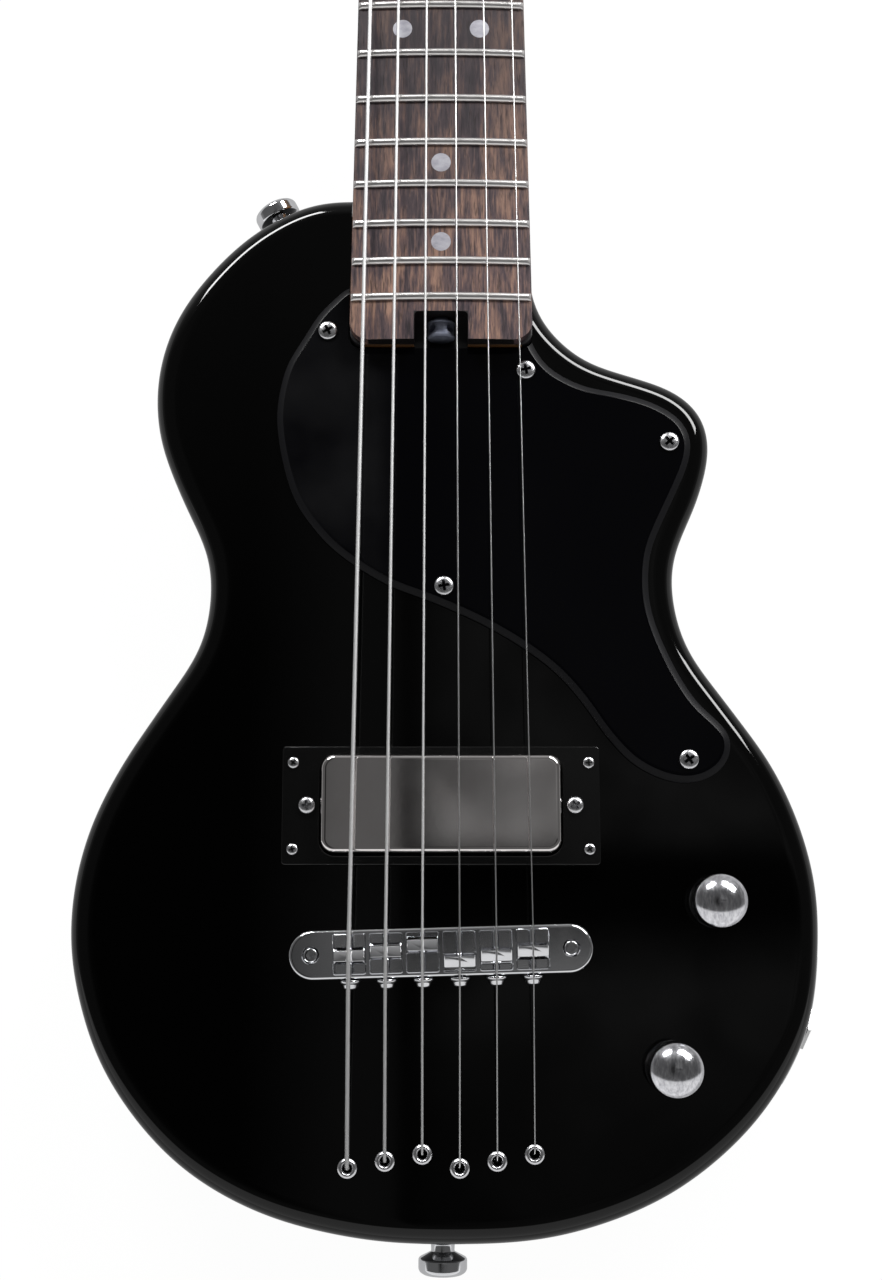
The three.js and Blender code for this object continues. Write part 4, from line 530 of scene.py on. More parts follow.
def outwards_at(index):
    """The way out of the body at points of its outline, given by their numbers."""
    along = unit(body_outline[(index + 3) % BODY_POINTS] - body_outline[index - 3])
    return np.stack([-along[..., 1], along[..., 0]], axis=-1)


def outline_at(target):
    """The number and place of the outline's point nearest to a target, and the way out there."""
    index = int(np.argmin(np.linalg.norm(body_outline - target, axis=1)))
    return index, body_outline[index], outwards_at(index)


JACK_TARGET = (110.0, (0.1935 - TAIL_SHARE) * BODY_LENGTH)
jack_index, jack_foot, jack_out = outline_at(JACK_TARGET)
jack_mouth = np.array([*jack_foot, BODY_TOP / 2])
jack_axis = np.array([*jack_out, 0.0])

BELOW, ABOVE = -1, BODY_TOP + 2
ROOM_FLOOR, ROOM_CORNER = 16, 4
STUD_FLOOR, STUD_BORE = 20, 4.6
SHAFT_FLOOR, SHAFT_BORE = 30, 3.8
STRING_BORE = 1.7
CAVITY_ROOF = 35
COVER_LIP, COVER_REBATE = 4, 2.3
PLATE_WIDTH, PLATE_LENGTH, PLATE_CORNER = 44, 36, 3
PLATE_GAP, PLATE_REBATE = 0.2, 2.2
PICKUP_ROOM, EAR_ROOM = (72.5, 31), (86, 13)
JACK_BORE, JACK_DEPTH = 6.5, 38
shell = skin("body_shell", stacked(body_outline, edges(0, BODY_TOP, EDGE_RADIUS, FRONT_RADIUS, 12)))
carve(shell, [
    block(heel_outline(POCKET_GAP, 60), POCKET_FLOOR, ABOVE),
    *[block(rounded_rectangle(*size, ROOM_CORNER, (0, PICKUP_Y)), ROOM_FLOOR, ABOVE)
      for size in (PICKUP_ROOM, EAR_ROOM)],
    *[peg(x, y, STUD_FLOOR, ABOVE, STUD_BORE) for x, y in POSTS],
    *[peg(x, y, SHAFT_FLOOR, ABOVE, SHAFT_BORE) for x, y in (VOLUME, TONE)],
    *[peg(x, y, BELOW, ABOVE, STRING_BORE, 16) for x, y in FERRULES],
    block(cavity_outline, BELOW, CAVITY_ROOF),
    block(shrunk(cavity_outline, -COVER_LIP), BELOW, COVER_REBATE),
    block(rounded_rectangle(PLATE_WIDTH + PLATE_GAP, PLATE_LENGTH + PLATE_GAP, PLATE_CORNER, (0, PLATE_Y)),
          BELOW, PLATE_REBATE),
    beam(jack_mouth + jack_axis * 3, jack_mouth - jack_axis * JACK_DEPTH, JACK_BORE),
])
lacquer = finish("black_lacquer", "body_lacquer", {"Base Color": grey(0.0003), "IOR": 1.38})
lacquer.paint({"Roughness": 0.035 + 0.03 * lacquer.noise(9, 3, 0.6)})
lacquer.bump(lacquer.noise(260, 2, 0.5), 0.003, 0.3)
dress(shell, lacquer, stands_for=["body"])


# Neck
# Maple, clear lacquered: a square heel in the pocket, a round shaft, and a flat head that is
# stepped down from the board and rounded along its edges.
SEAT = 44.1
BOARD_BOTTOM = 44.2
BOARD_TOP = 49.4
HEAD_START = SCALE + 5.5
HEAD_FACE = SEAT - 3.5
HEAD_BACK = HEAD_FACE - 14
HEAD_LENGTH = 150.0
HEAD_HALF = 37.0
HEAD_SHARES = np.array([
    (0.58, -0.03), (0.6, 0.04), (0.76, 0.12), (0.95, 0.2), (1.0, 0.29), (0.95, 0.5),
    (0.88, 0.78), (0.84, 0.93), (0.62, 0.99), (0.25, 1.0),
])
ROD_Z = SEAT - 3
ROD_HALF = 2.5
ROD_FINISH = SCALE - 21.7
WHEEL_ROOM = 8
HEEL_BOTTOM = 24.1
# Along the neck: distance, depth under the board, and how square the section is.
NECK_TABLE = np.array([
    (HEEL_FINISH - 4, 19.9, 9), (HEEL_FINISH + 4, 19.9, 6), (HEEL_FINISH + 16, 17.7, 3),
    (HEEL_FINISH + 32, 16.7, 2.3), ((HEEL_FINISH + SCALE) / 2, 15.85, 2.3), (SCALE - 24, 15, 2.3),
    (SCALE, 15, 2.6), (HEAD_START, 16, 4),
])


def neck_sections(stations, sides=49):
    """Rings of the shaft: a superellipse under a flat top, whose half width is the board's."""
    dense = np.linspace(NECK_TABLE[0, 0], NECK_TABLE[-1, 0], 200)
    depth, square = (np.interp(dense, NECK_TABLE[:, 0], NECK_TABLE[:, column]) for column in (1, 2))
    reach = 4
    kernel = np.ones(2 * reach + 1) / (2 * reach + 1)
    soft_depth, soft_square = (np.convolve(np.pad(line, reach, mode="edge"), kernel, "valid")
                               for line in (depth, square))
    y = np.linspace(dense[0], dense[-1], stations)[:, None]
    depth = np.interp(y, dense, soft_depth)
    power = 2 / np.interp(y, dense, soft_square)
    angle = math.pi + np.linspace(0, math.pi, sides)[None, :]
    across, down = np.cos(angle), np.sin(angle)
    x = board_half(y) * np.sign(across) * np.abs(across) ** power
    z = SEAT - depth * np.abs(down) ** power
    return np.stack([x, np.broadcast_to(y, x.shape), z], axis=-1)


side = HEAD_SHARES * (HEAD_HALF, HEAD_LENGTH) + (0, HEAD_START)
head_outline = faired(curve_through(np.vstack([side, side[::-1] * (-1, 1)]), 400), 3)


def head_edge(y):
    """Half the head's width at a distance along it."""
    along = (y - HEAD_START) / HEAD_LENGTH
    return HEAD_HALF * np.interp(along, HEAD_SHARES[:, 1], HEAD_SHARES[:, 0])


FIRST_TUNER, TUNER_PITCH, TUNER_INSET = 38, 36, 12
# Each tuner's side of the head and the place of its post, in the order of the strings.
TUNERS = []
for tuner_side, steps in ((-1, (0, 1, 2)), (1, (2, 1, 0))):
    for step in steps:
        tuner_y = HEAD_START + FIRST_TUNER + TUNER_PITCH * step
        TUNERS.append((tuner_side, tuner_side * (head_edge(tuner_y) - TUNER_INSET), tuner_y))

NOTCH_HALF, NOTCH_LENGTH = 8.15, 8.8
NOTCH_FINISH = BOARD_END + NOTCH_LENGTH
neck = skin("neck_wood", neck_sections(90))
carve(neck, [
    skin("cutter", stacked(heel_outline(0), edges(HEEL_BOTTOM, SEAT, 0.4, 0.3, 2))),
    skin("cutter", stacked(head_outline, edges(HEAD_BACK, HEAD_FACE, 2.2, 1.8, 6))),
], "UNION")
carve(neck, [
    box_between((-NOTCH_HALF, BOARD_END - 2, SEAT - WHEEL_ROOM), (NOTCH_HALF, NOTCH_FINISH, SEAT + 2)),
    box_between((-ROD_HALF, BOARD_END, ROD_Z - ROD_HALF), (ROD_HALF, ROD_FINISH, SEAT + 2)),
    box_between((-50, HEAD_START, HEAD_FACE), (50, HEAD_START + HEAD_LENGTH + 10, 60)),
    *[peg(x, y, HEAD_BACK - 2, HEAD_FACE + 2, 5.0) for _, x, y in TUNERS],
])
maple = finish("clear_maple", "neck_wood", {
    "IOR": 1.5, "Coat Weight": 0.8, "Coat Roughness": 0.12, "Roughness": 0.42,
})
figure = maple.noise(22, 5, 0.6, (6, 0.5, 6))
flecks = maple.noise(900, 2, 0.5, (1.0, 0.06, 1.0))
amber = maple.tint(
    figure * 0.8 + flecks * 0.2,
    (0.25, (0.27, 0.11, 0.026)), (0.5, (0.38, 0.17, 0.047)), (0.75, (0.5, 0.25, 0.08)),
)
# Painted shade: the end face of the heel, turned away from the lamps, is coloured dark brown, and the
# notch, a deep recess, near black.
across, along = maple.axes("X", "Y")
past_end = along.ramp((BOARD_END + 0.02) * MM, (BOARD_END + 0.1) * MM)
painted_end_shade = (1 - past_end) * (1 - across.ramp(0.024, 0.0262))
painted_notch_shade = (1 - along.ramp((NOTCH_FINISH + 1) * MM, (NOTCH_FINISH + 2) * MM)) * past_end
amber_with_end_shade = maple.mix(painted_end_shade * 0.9, amber, (0.02, 0.007, 0.001, 1))
maple.paint({"Base Color": maple.mix(painted_notch_shade, amber_with_end_shade, (0.004, 0.003, 0.004, 1))})
maple.bump(flecks, 0.02, 0.25)
dress(neck, maple, stands_for=["neck"])


# Fretboard, frets and dots
# Dark open-pored wood, crowned across, glued on the neck, with a notch over the rod's wheel.
# Nickel frets are hammered into its slots and their ends filed to a bevel; the dots are pearl.
CROWN = 305.0
BOARD_CORNER = 6.5
ABOVE_BOARD = 55
ARRIS = 0.5
FRET_HALF, FRET_HEIGHT = 1.2, 1.1
FRET_BEVEL = 1.1
FRETS = SCALE * 2 ** (-np.arange(1, 19) / 12)


def crown_drop(x):
    """How far the crowned surface lies under its middle at a distance across."""
    return CROWN - np.sqrt(CROWN ** 2 - np.asarray(x) ** 2)


def board_grid():
    """Rings at both ends: the crowned top in 48 steps, with a small round at each long edge, and
    the flat underside."""
    rings = []
    for y in (BOARD_END, SCALE):
        half = float(board_half(y))
        x = np.linspace(-half + ARRIS, half - ARRIS, 49)
        top = BOARD_TOP - crown_drop(x)
        turn = np.linspace(0, math.pi / 2, 5)[1:]
        right = np.stack([half - ARRIS + ARRIS * np.sin(turn), top[-1] - ARRIS + ARRIS * np.cos(turn)],
                         axis=1)
        left = (right * (-1, 1))[::-1]
        line = np.vstack([left, np.stack([x, top], axis=1), right,
                          [(half, BOARD_BOTTOM), (-half, BOARD_BOTTOM)]])
        rings.append(np.stack([line[:, 0], np.full(len(line), y), line[:, 1]], axis=1))
    return np.stack(rings)


def corner_cutter(side):
    """What the round corner at the board's end leaves of its square one."""
    centre = np.array([side * (BOARD_END_WIDTH / 2 - BOARD_CORNER), BOARD_END + BOARD_CORNER])
    arc = np.linspace(-math.pi / 2, 0, 17)
    line = np.stack([side * BOARD_CORNER * np.cos(arc), BOARD_CORNER * np.sin(arc)], axis=1) + centre
    far = centre + (side * (BOARD_CORNER + 3), -BOARD_CORNER - 3)
    outline = np.vstack([line, [(far[0], centre[1])], [far], [(centre[0], far[1])]])
    return block(outline, BODY_TOP, ABOVE_BOARD)


board = skin("board_wood", board_grid())
notch = rounded_rectangle(2 * NOTCH_HALF, 2 * NOTCH_LENGTH, 1.4, (0, BOARD_END))
carve(board, [block(notch, BODY_TOP, ABOVE_BOARD), corner_cutter(-1), corner_cutter(1)])
rosewood = finish("dark_rosewood", "fretboard_wood", {"IOR": 1.38, "Roughness": 0.5})
grain = rosewood.noise(50, 4, 0.6, (2.4, 0.75, 1))
streak = rosewood.noise(230, 5, 0.66, (4.5, 0.4, 1))
pores = rosewood.noise(1500, 2, 0.6, (1.0, 0.11, 1)).ramp(0.54, 0.68)
brown = rosewood.tint(
    grain * 0.5 + streak * 0.5,
    (0.39, (0.018, 0.012, 0.016)), (0.47, (0.064, 0.042, 0.047)), (0.53, (0.140, 0.082, 0.068)),
    (0.61, (0.275, 0.160, 0.115)),
)
# Painted shade: at its end face and on the walls of the notch, which lie in shade, the wood is coloured
# nearly black.
across, along = rosewood.axes("X", "Y")
board_end_shade = 1 - along.ramp((BOARD_END + 0.02) * MM, (BOARD_END + 0.12) * MM)
beside_notch = (across * across).ramp(*[((NOTCH_HALF + margin) * MM) ** 2 for margin in (0.05, 0.15)])
board_notch_shade = (1 - along.ramp((NOTCH_FINISH + 0.05) * MM, (NOTCH_FINISH + 0.15) * MM)) * (1 - beside_notch)
# Painted shade: the board is coloured darker towards the head, from 200 to 275 mm along it, where the light
# falls off.
head_falloff_shade = rosewood.mix(0.7 * along.ramp(0.2, 0.275), brown, (0.012, 0.008, 0.011, 1))
porous = rosewood.mix(pores * 0.65, head_falloff_shade, (0.012, 0.006, 0.007, 1))
rosewood.paint({
    "Base Color": rosewood.mix(board_end_shade.highest(board_notch_shade), porous, (0.004, 0.003, 0.003, 1)),
    "Roughness": 0.5 + 0.2 * pores,
})
rosewood.bump(1 - pores + 0.4 * grain, 0.05, 0.5)
dress(board, rosewood, stands_for=["fretboard"])


def fret_grid(y):
    """A fret: across the board, a half-round crown 2.4 wide and 1.1 high on the crowned wood, that
    falls away to its filed ends."""
    half = float(board_half(y)) - 0.25
    x = np.concatenate([[-half, -half + 0.35], np.linspace(-half + 0.8, half - 0.8, 25),
                        [half - 0.35, half]])[:, None]
    turn = np.linspace(0, math.pi, 13)[None, :]
    rise = np.clip(0.35 + (half - np.abs(x)) / FRET_BEVEL, 0, 1)
    height = FRET_HEIGHT * np.sin(turn) ** 0.8 * rise - 0.3 * (np.sin(turn) < 0.01)
    return np.stack([
        np.broadcast_to(x, height.shape),
        y + FRET_HALF * np.cos(turn) * np.ones_like(x),
        BOARD_TOP - crown_drop(x) + height,
    ], axis=-1)


nickel_silver = finish("fret_wire", "nickel", {
    "Base Color": (0.75, 0.73, 0.72, 1), "Metallic": 1.0, "Roughness": 0.3,
})
nickel_silver.bump(nickel_silver.noise(900, 2, 0.5, (0.3, 1, 1)), 0.002, 0.25)
for number, y in enumerate(FRETS, 1):
    dress(skin(f"fret_{number:02d}", fret_grid(y)), nickel_silver)

pearl = finish("pearl_dot", "nut_plastic", {"IOR": 1.55, "Roughness": 0.22, "Coat Weight": 0.6})
sheen = pearl.noise(330, 3, 0.6, (1, 1.6, 1))
pearl.paint({"Base Color": pearl.tint(
    sheen, (0.3, (0.3, 0.295, 0.33)), (0.5, (0.37, 0.365, 0.405)), (0.7, (0.44, 0.435, 0.47)))})
pearl.bump(sheen, 0.01, 0.3)
DOT_RADIUS = 3.0
DOTS = [(0, 3), (0, 5), (0, 7), (0, 9), (-12, 12), (12, 12), (0, 15), (0, 17)]
dot_grids = []
for x, fret in DOTS:
    y = (FRETS[fret - 1] + FRETS[fret - 2]) / 2
    grid = stacked(circle(40, DOT_RADIUS) + (x, y), [(0, -1.0), (0, 0.01), (0.15, 0.03), (1.5, 0.035)])
    grid[..., 2] += BOARD_TOP - crown_drop(grid[..., 0])
    dot_grids.append(grid)


def joined(name, pieces):
    """One object from several, which are used up."""
    sheet = bmesh.new()
    for piece in pieces:
        sheet.from_mesh(piece.data)
        bpy.data.objects.remove(piece)
    mesh = bpy.data.meshes.new(name)
    sheet.to_mesh(mesh)
    sheet.free()
    whole = bpy.data.objects.new(name, mesh)
    bpy.context.scene.collection.objects.link(whole)
    return whole


dress(joined("board_dots", [skin("dot", grid) for grid in dot_grids]), pearl)


# Nut
# A bar of ivory-coloured plastic in front of the first fret, with a slot for each string.
GAUGES = np.array([1.2, 0.95, 0.7, 0.5, 0.42, 0.36])
ACTION_BRIDGE = BOARD_TOP + FRET_HEIGHT + 3.3
ACTION_NUT = BOARD_TOP + FRET_HEIGHT + 0.4
SPREAD_BRIDGE, SPREAD_NUT = 52, 37
NUT_DEPTH = 4.6
SLOT_ROOM = 0.15


def string_x(number, y):
    """A string's place across: they fan out evenly from the nut to the bridge."""
    return (number / 5 - 0.5) * (SPREAD_BRIDGE + (SPREAD_NUT - SPREAD_BRIDGE) * y / SCALE)


def string_under(number, y):
    """Height of a string's underside: straight from bridge to nut, less the board's crown."""
    return ACTION_BRIDGE + (ACTION_NUT - ACTION_BRIDGE) * y / SCALE - crown_drop(string_x(number, y))


nut_plan = evenly(rounded_rectangle(NUT_WIDTH, NUT_DEPTH, 0.9, (0, SCALE + 0.1 + NUT_DEPTH / 2)), 240)
nut = skin("nut_bar", stacked(nut_plan, edges(BOARD_BOTTOM, BOARD_TOP + 3, 0.1, 0.7)))
nut_slots = []
for number, gauge in enumerate(GAUGES):
    x, half = string_x(number, SCALE), gauge / 2 + SLOT_ROOM
    nut_slots.append(box_between((x - half, SCALE - 1, string_under(number, SCALE) - 0.05),
                                 (x + half, SCALE + 6, BOARD_TOP + 5)))
carve(nut, nut_slots)
ivory = finish("ivory_plastic", "nut_plastic", {"IOR": 1.5, "Roughness": 0.35, "Subsurface Weight": 0.1})
ivory.paint({"Base Color": ivory.tint(
    ivory.noise(300, 3, 0.6), (0.3, (0.62, 0.58, 0.47)), (0.7, (0.7, 0.67, 0.58)))})
dress(nut, ivory, stands_for=["nut"])


# Truss rod wheel
# A dark steel drum at the end of the rod, with four holes round it for a pin that turns it.
WHEEL_Y = BOARD_END + 2.6


def turned_grid(profile, sides=48):
    """A profile of radius and height, carried round the upright axis."""
    profile = np.array(profile, float)
    ring = circle(sides)
    return np.concatenate([
        profile[:, None, :1] * ring[None],
        np.broadcast_to(profile[:, None, 1:], (len(profile), sides, 1)),
    ], axis=-1)


def softened(corners, radius, steps=4):
    """An open line whose inner corners are rounded: at each, a curve from a point before it to one
    after it, drawn towards it."""
    corners = np.array(corners, float)
    before, here, after = corners[:-2], corners[1:-1], corners[2:]
    lengths = np.stack([np.linalg.norm(here - before, axis=1), np.linalg.norm(after - here, axis=1)])
    reach = np.minimum(radius, lengths.min(axis=0) * 0.45)[:, None]
    start = here + unit(before - here) * reach
    end = here + unit(after - here) * reach
    part = np.linspace(0, 1, steps + 1)[None, :, None]
    arcs = ((1 - part) ** 2 * start[:, None] + 2 * part * (1 - part) * here[:, None]
            + part ** 2 * end[:, None])
    return np.vstack([corners[:1], arcs.reshape(-1, corners.shape[1]), corners[-1:]])


def aimed(grid, place, direction, spin=0.0):
    """Points made round the upright axis, turned to another direction and moved to a place."""
    turn = Vector(direction).to_track_quat("Z", "Y").to_matrix() @ Matrix.Rotation(spin, 3, "Z")
    return grid @ np.array(turn).T + np.array(place)


wheel_profile = softened([(0, 0), (3.8, 0), (4.3, 0.5), (4.3, 0.9), (4.1, 1.1), (4.1, 4.5), (4.3, 4.7),
                          (4.3, 5.1), (3.8, 5.6), (2.2, 5.6), (2.2, 300), (0, 300)], 0.2)
wheel = skin("rod_wheel", aimed(turned_grid(wheel_profile), (0, WHEEL_Y, ROD_Z), (0, 1, 0)))
hub = np.array([0, WHEEL_Y + 2.8, ROD_Z])
pin_holes = []
for angle in (np.arange(4) + 0.5) * math.pi / 2:
    out = np.array([math.sin(angle), 0, math.cos(angle)])
    pin_holes.append(beam(hub + out * 1.6, hub + out * 6, 1.4, 24))
carve(wheel, pin_holes)
blued = finish("blued_steel", "dark_steel", {"Metallic": 1.0})
blued.paint({
    "Base Color": blued.tint(
        blued.noise(400, 3, 0.6), (0.3, (0.2, 0.215, 0.275)), (0.7, (0.34, 0.36, 0.44))),
    "Roughness": 0.58 + 0.15 * blued.noise(900, 2, 0.5),
})
dress_mover(wheel, blued, "truss_rod")


# Pickguard
# A black sheet, bevelled to a paler line round its edge, held by five domed cross-head screws.
GUARD_SHARES = np.array([
    (-0.262, 0.903), (-0.294, 0.893), (-0.342, 0.876), (-0.389, 0.849), (-0.429, 0.825),
    (-0.45, 0.798), (-0.458, 0.772), (-0.45, 0.744), (-0.432, 0.715), (-0.402, 0.686),
    (-0.347, 0.658), (-0.286, 0.636), (-0.15, 0.605), (-0.028, 0.5885), (0.109, 0.567),
    (0.217, 0.545), (0.312, 0.5195), (0.379, 0.493), (0.445, 0.46), (0.511, 0.435),
    (0.559, 0.4245), (0.605, 0.418), (0.66, 0.415), (0.714, 0.419), (0.762, 0.431),
    (0.782, 0.4475), (0.776, 0.462), (0.69, 0.493), (0.626, 0.531), (0.575, 0.579),
    (0.568, 0.6125), (0.579, 0.6395), (0.608, 0.664), (0.655, 0.6985), (0.687, 0.7255),
    (0.6945, 0.7485), (0.668, 0.7675), (0.597, 0.784), (0.507, 0.794), (0.399, 0.802),
    (0.305, 0.82), (0.262, 0.8405), (0.23, 0.865), (0.0, 0.9),
])
GUARD_SCREWS = on_body([
    (-0.318, 0.857), (0.237, 0.817), (0.634, 0.7445), (0.008, 0.6025), (0.666, 0.437),
])
GUARD_BOTTOM, GUARD_TOP = 40.1, 42.3
guard_outline = faired(curve_through(on_body(GUARD_SHARES), 600), 3)
guard = skin("guard_sheet", stacked(guard_outline, [
    (0, GUARD_BOTTOM), (0, GUARD_TOP - 1.3), (0.1, GUARD_TOP - 1.2), (1.9, GUARD_TOP - 0.06),
    (2.1, GUARD_TOP), (2.8, GUARD_TOP)]))
carve(guard, [block(heel_outline(0.5, 30), BODY_TOP - 2, BODY_TOP + 4)])
black_sheet = finish("black_sheet", "black_plastic", {"IOR": 1.22})
# The bevel shows the sheet's paler core. The bass side gets a painted reflection: a little paler, in cloudy
# patches.
across, upright = black_sheet.axes("X", "Z")
sawn = 1 - upright.ramp((GUARD_TOP - 0.12) * MM, (GUARD_TOP - 0.03) * MM)
painted_sheen_patches = (1 - across.ramp(-0.02, -0.013)) * black_sheet.noise(28, 3, 0.5).ramp(0.3, 0.62)
sheet_with_painted_sheen = black_sheet.mix(painted_sheen_patches, (0.0006, 0.0006, 0.001, 1), (0.0055, 0.0055, 0.006, 1))
black_sheet.paint({
    "Base Color": black_sheet.mix(sawn, sheet_with_painted_sheen, (0.0065, 0.0065, 0.0075, 1)),
    "Roughness": 0.1 + 0.3 * sawn,
})
black_sheet.bump(black_sheet.noise(420, 2, 0.5), 0.004, 0.4)
dress(guard, black_sheet, stands_for=["pickguard"], crease=20)

chrome = finish("polished_chrome", "chrome", {"Metallic": 1.0})
smear = chrome.noise(120, 3, 0.6)
chrome.paint({
    "Base Color": chrome.tint(smear, (0.3, (0.72, 0.73, 0.75)), (0.7, (0.82, 0.82, 0.84))),
    "Roughness": 0.05 + 0.08 * smear,
})
chrome.bump(chrome.noise(700, 2, 0.5), 0.003, 0.3)

bright_zinc = finish("bright_zinc", "chrome", {"Metallic": 1.0, "Base Color": (0.72, 0.72, 0.74, 1)})
bright_zinc.paint({"Roughness": 0.12 + 0.24 * bright_zinc.noise(1500, 2, 0.6)})
bright_zinc.bump(bright_zinc.noise(900, 2, 0.6), 0.03, 0.7)


def cross_screw(radius, height, places, spins, direction=(0, 0, 1)):
    """Screws with a domed head and a tapered cross let into it, one for each place and turn."""
    quarter = np.linspace(0, 1, 9)[:-1] * math.pi / 2
    dome = [(radius * math.cos(turn) ** 0.8, height * (0.35 + 0.65 * math.sin(turn))) for turn in quarter]
    neck_radius = radius * 0.45
    profile = [(0, -3 * height), (neck_radius, -3 * height), (neck_radius, 0), (radius * 0.97, 0),
               *dome, (0, height)]
    head = skin("screw", turned_grid(profile, 40))
    arm, wide, depth = radius * 0.62, radius * 0.17, height * 1.2
    crosses = []
    for turn in (0, math.pi / 2):
        outline = np.array([(-arm, -wide), (arm, -wide), (arm, wide), (-arm, wide)])
        turned = outline @ np.array([[math.cos(turn), -math.sin(turn)], [math.sin(turn), math.cos(turn)]])
        grid = stacked(turned, [(0, -depth), (0, depth)])
        grid[0, :, :2] *= 0.5
        crosses.append(skin("cutter", grid))
    carve(head, crosses)
    points = np.zeros(len(head.data.vertices) * 3)
    head.data.vertices.foreach_get("co", points)
    points = points.reshape(-1, 3) / MM
    faces = [list(polygon.vertices) for polygon in head.data.polygons]
    bpy.data.objects.remove(head)
    return [sewn("screw", aimed(points, place, direction, spin), faces)
            for place, spin in zip(places, spins)]


guard_places = [(x, y, GUARD_TOP) for x, y in GUARD_SCREWS]
guard_screws = cross_screw(2.9, 1.3, guard_places, (0.5, 0.2, 0.75, 0.15, 0.6))
dress(joined("guard_screws", guard_screws), bright_zinc)


# Pickup ring
# A flat black moulding round the pickup, with four small corner screws.
RING_BOTTOM, RING_TOP = 40.1, 43.3
HEIGHT_SCREW_X = 39
ring_levels = edges(RING_BOTTOM, RING_TOP, 0.1, 0.35, 4)
outside = stacked(rounded_rectangle(92.6, 34.4, 1.2, (0, PICKUP_Y)), ring_levels)
inside = stacked(rounded_rectangle(70.7, 29.2, 4.6, (0, PICKUP_Y)),
                 [(-inset, height) for inset, height in ring_levels])
ring = skin("ring_moulding", np.concatenate([outside, inside[::-1]]), loop=True)
carve(ring, [peg(side * HEIGHT_SCREW_X, PICKUP_Y, RING_BOTTOM - 2, RING_TOP + 2, 1.55) for side in (-1, 1)])
ring_plastic = finish("ring_plastic", "black_plastic", {"Base Color": grey(0.0015), "IOR": 1.5})
mould = ring_plastic.noise(900, 3, 0.6)
ring_plastic.paint({"Roughness": 0.12 + 0.1 * mould})
ring_plastic.bump(mould, 0.006, 0.5)
dress(ring, ring_plastic, stands_for=["pickup_ring"])
corner_places = [(x, PICKUP_Y + y, RING_TOP) for x in (-43.1, 43.1) for y in (-12.7, 12.4)]
dress(joined("ring_screws", cross_screw(1.65, 0.9, corner_places, (0.3, 0.9, 0.6, 0.1))), bright_zinc)


# Pickup
# A thin nickel cover drawn from sheet, over two coils on a plate, hung in the ring from two
# screws at its ends.
COVER_TOP = RING_TOP + 4.6
COVER_BOTTOM = COVER_TOP - 17
COVER_SHEET = 0.8
cover_plan = rounded_rectangle(69.5, 28.2, 4, (0, PICKUP_Y + 0.3), 16)
cover_levels = edges(COVER_BOTTOM, COVER_TOP, 0.1, 1.35, 8) + [(2.8, COVER_TOP)]
cover = skin("cover_shell", stacked(cover_plan, cover_levels))
carve(cover, [block(shrunk(cover_plan, COVER_SHEET), COVER_BOTTOM - 2, COVER_TOP - 2 * COVER_SHEET)])
plated = finish("nickel_plate", "nickel", {"Metallic": 1.0})
haze = plated.noise(60, 4, 0.6)
plated.paint({
    "Base Color": plated.tint(haze, (0.3, (0.78, 0.74, 0.73)), (0.7, (0.88, 0.85, 0.84))),
    "Roughness": 0.03 + 0.04 * haze,
})
plated.bump(plated.noise(240, 2, 0.5), 0.006, 0.35)
dress(cover, plated, "pickup", ["pickup_cover"])

coil_tape = finish("coil_tape", "coil_plastic", {"Base Color": grey(0.012), "Roughness": 0.5})
coil_tape.bump(coil_tape.noise(800, 3, 0.6), 0.02, 0.5)


def recoat(node, look):
    """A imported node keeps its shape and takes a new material."""
    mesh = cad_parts[node].data
    mesh.materials.clear()
    mesh.materials.append(look.material)


recoat("pickup_coils", coil_tape)
for side, name in ((-1, "bass"), (1, "treble")):
    x = side * HEIGHT_SCREW_X
    head = cross_screw(2.45, 1.5, [(x, PICKUP_Y, RING_TOP + 0.1)], [0.35 + side * 0.2])
    shank = beam((x, PICKUP_Y, RING_TOP - 3), (x, PICKUP_Y, RING_TOP - 21.8), 1.25)
    dress_mover(joined(f"height_screw_{name}", [*head, shank]), bright_zinc, f"pickup_screw_{name}")


# Bridge
# A chrome bar with round ends and six bays for its saddles, carried on two studs with a socket in
# their tops, that screw into the body.
BRIDGE_BOTTOM = 43.3
BRIDGE_TOP = 49.6
BRIDGE_LENGTH, BRIDGE_WIDTH = 86.4, 13.8
BRIDGE_HALF = BRIDGE_WIDTH / 2
BAY_LENGTH, BAY_WIDTH = 11.0, 9.0
SADDLE_LENGTH = 4.8
SADDLE_ROOM = 0.15
BOLT_Z = BRIDGE_BOTTOM + 3.4
BOLT_BORE = 1.4
SADDLE_X = np.linspace(-26, 26, 6)
TRAVEL = (BAY_LENGTH - SADDLE_LENGTH) / 2 - SADDLE_ROOM
SADDLE_Y = np.array([-0.14, 0.18, 0.7, -0.97, -0.5, -0.17]) * TRAVEL

bar_plan = evenly(rounded_rectangle(BRIDGE_LENGTH, BRIDGE_WIDTH, BRIDGE_HALF, steps=24), 240)
bar = skin("bridge_bar", on_bridge(stacked(bar_plan, edges(BRIDGE_BOTTOM, BRIDGE_TOP, 0.5, 0.9, 6))))
bay_levels = [(0, BRIDGE_BOTTOM + 1.2), (0, BRIDGE_TOP - 0.25), (-0.25, BRIDGE_TOP),
              (-1.2, BRIDGE_TOP + 0.95)]
bays = [stacked(rounded_rectangle(BAY_WIDTH, BAY_LENGTH, 0.5, (x, 0), 4), bay_levels) for x in SADDLE_X]
bores = [on_bridge([(x, -9, BOLT_Z), (x, 9, BOLT_Z)]) for x in SADDLE_X]
carve(bar, [
    *[skin("cutter", on_bridge(bay)) for bay in bays],
    *[beam(*bore, BOLT_BORE, 24) for bore in bores],
    *[peg(x, y, 42, 52, 2.55) for x, y in POSTS],
])
dress(bar, chrome, "bridge", ["bridge_body"], crease=25)

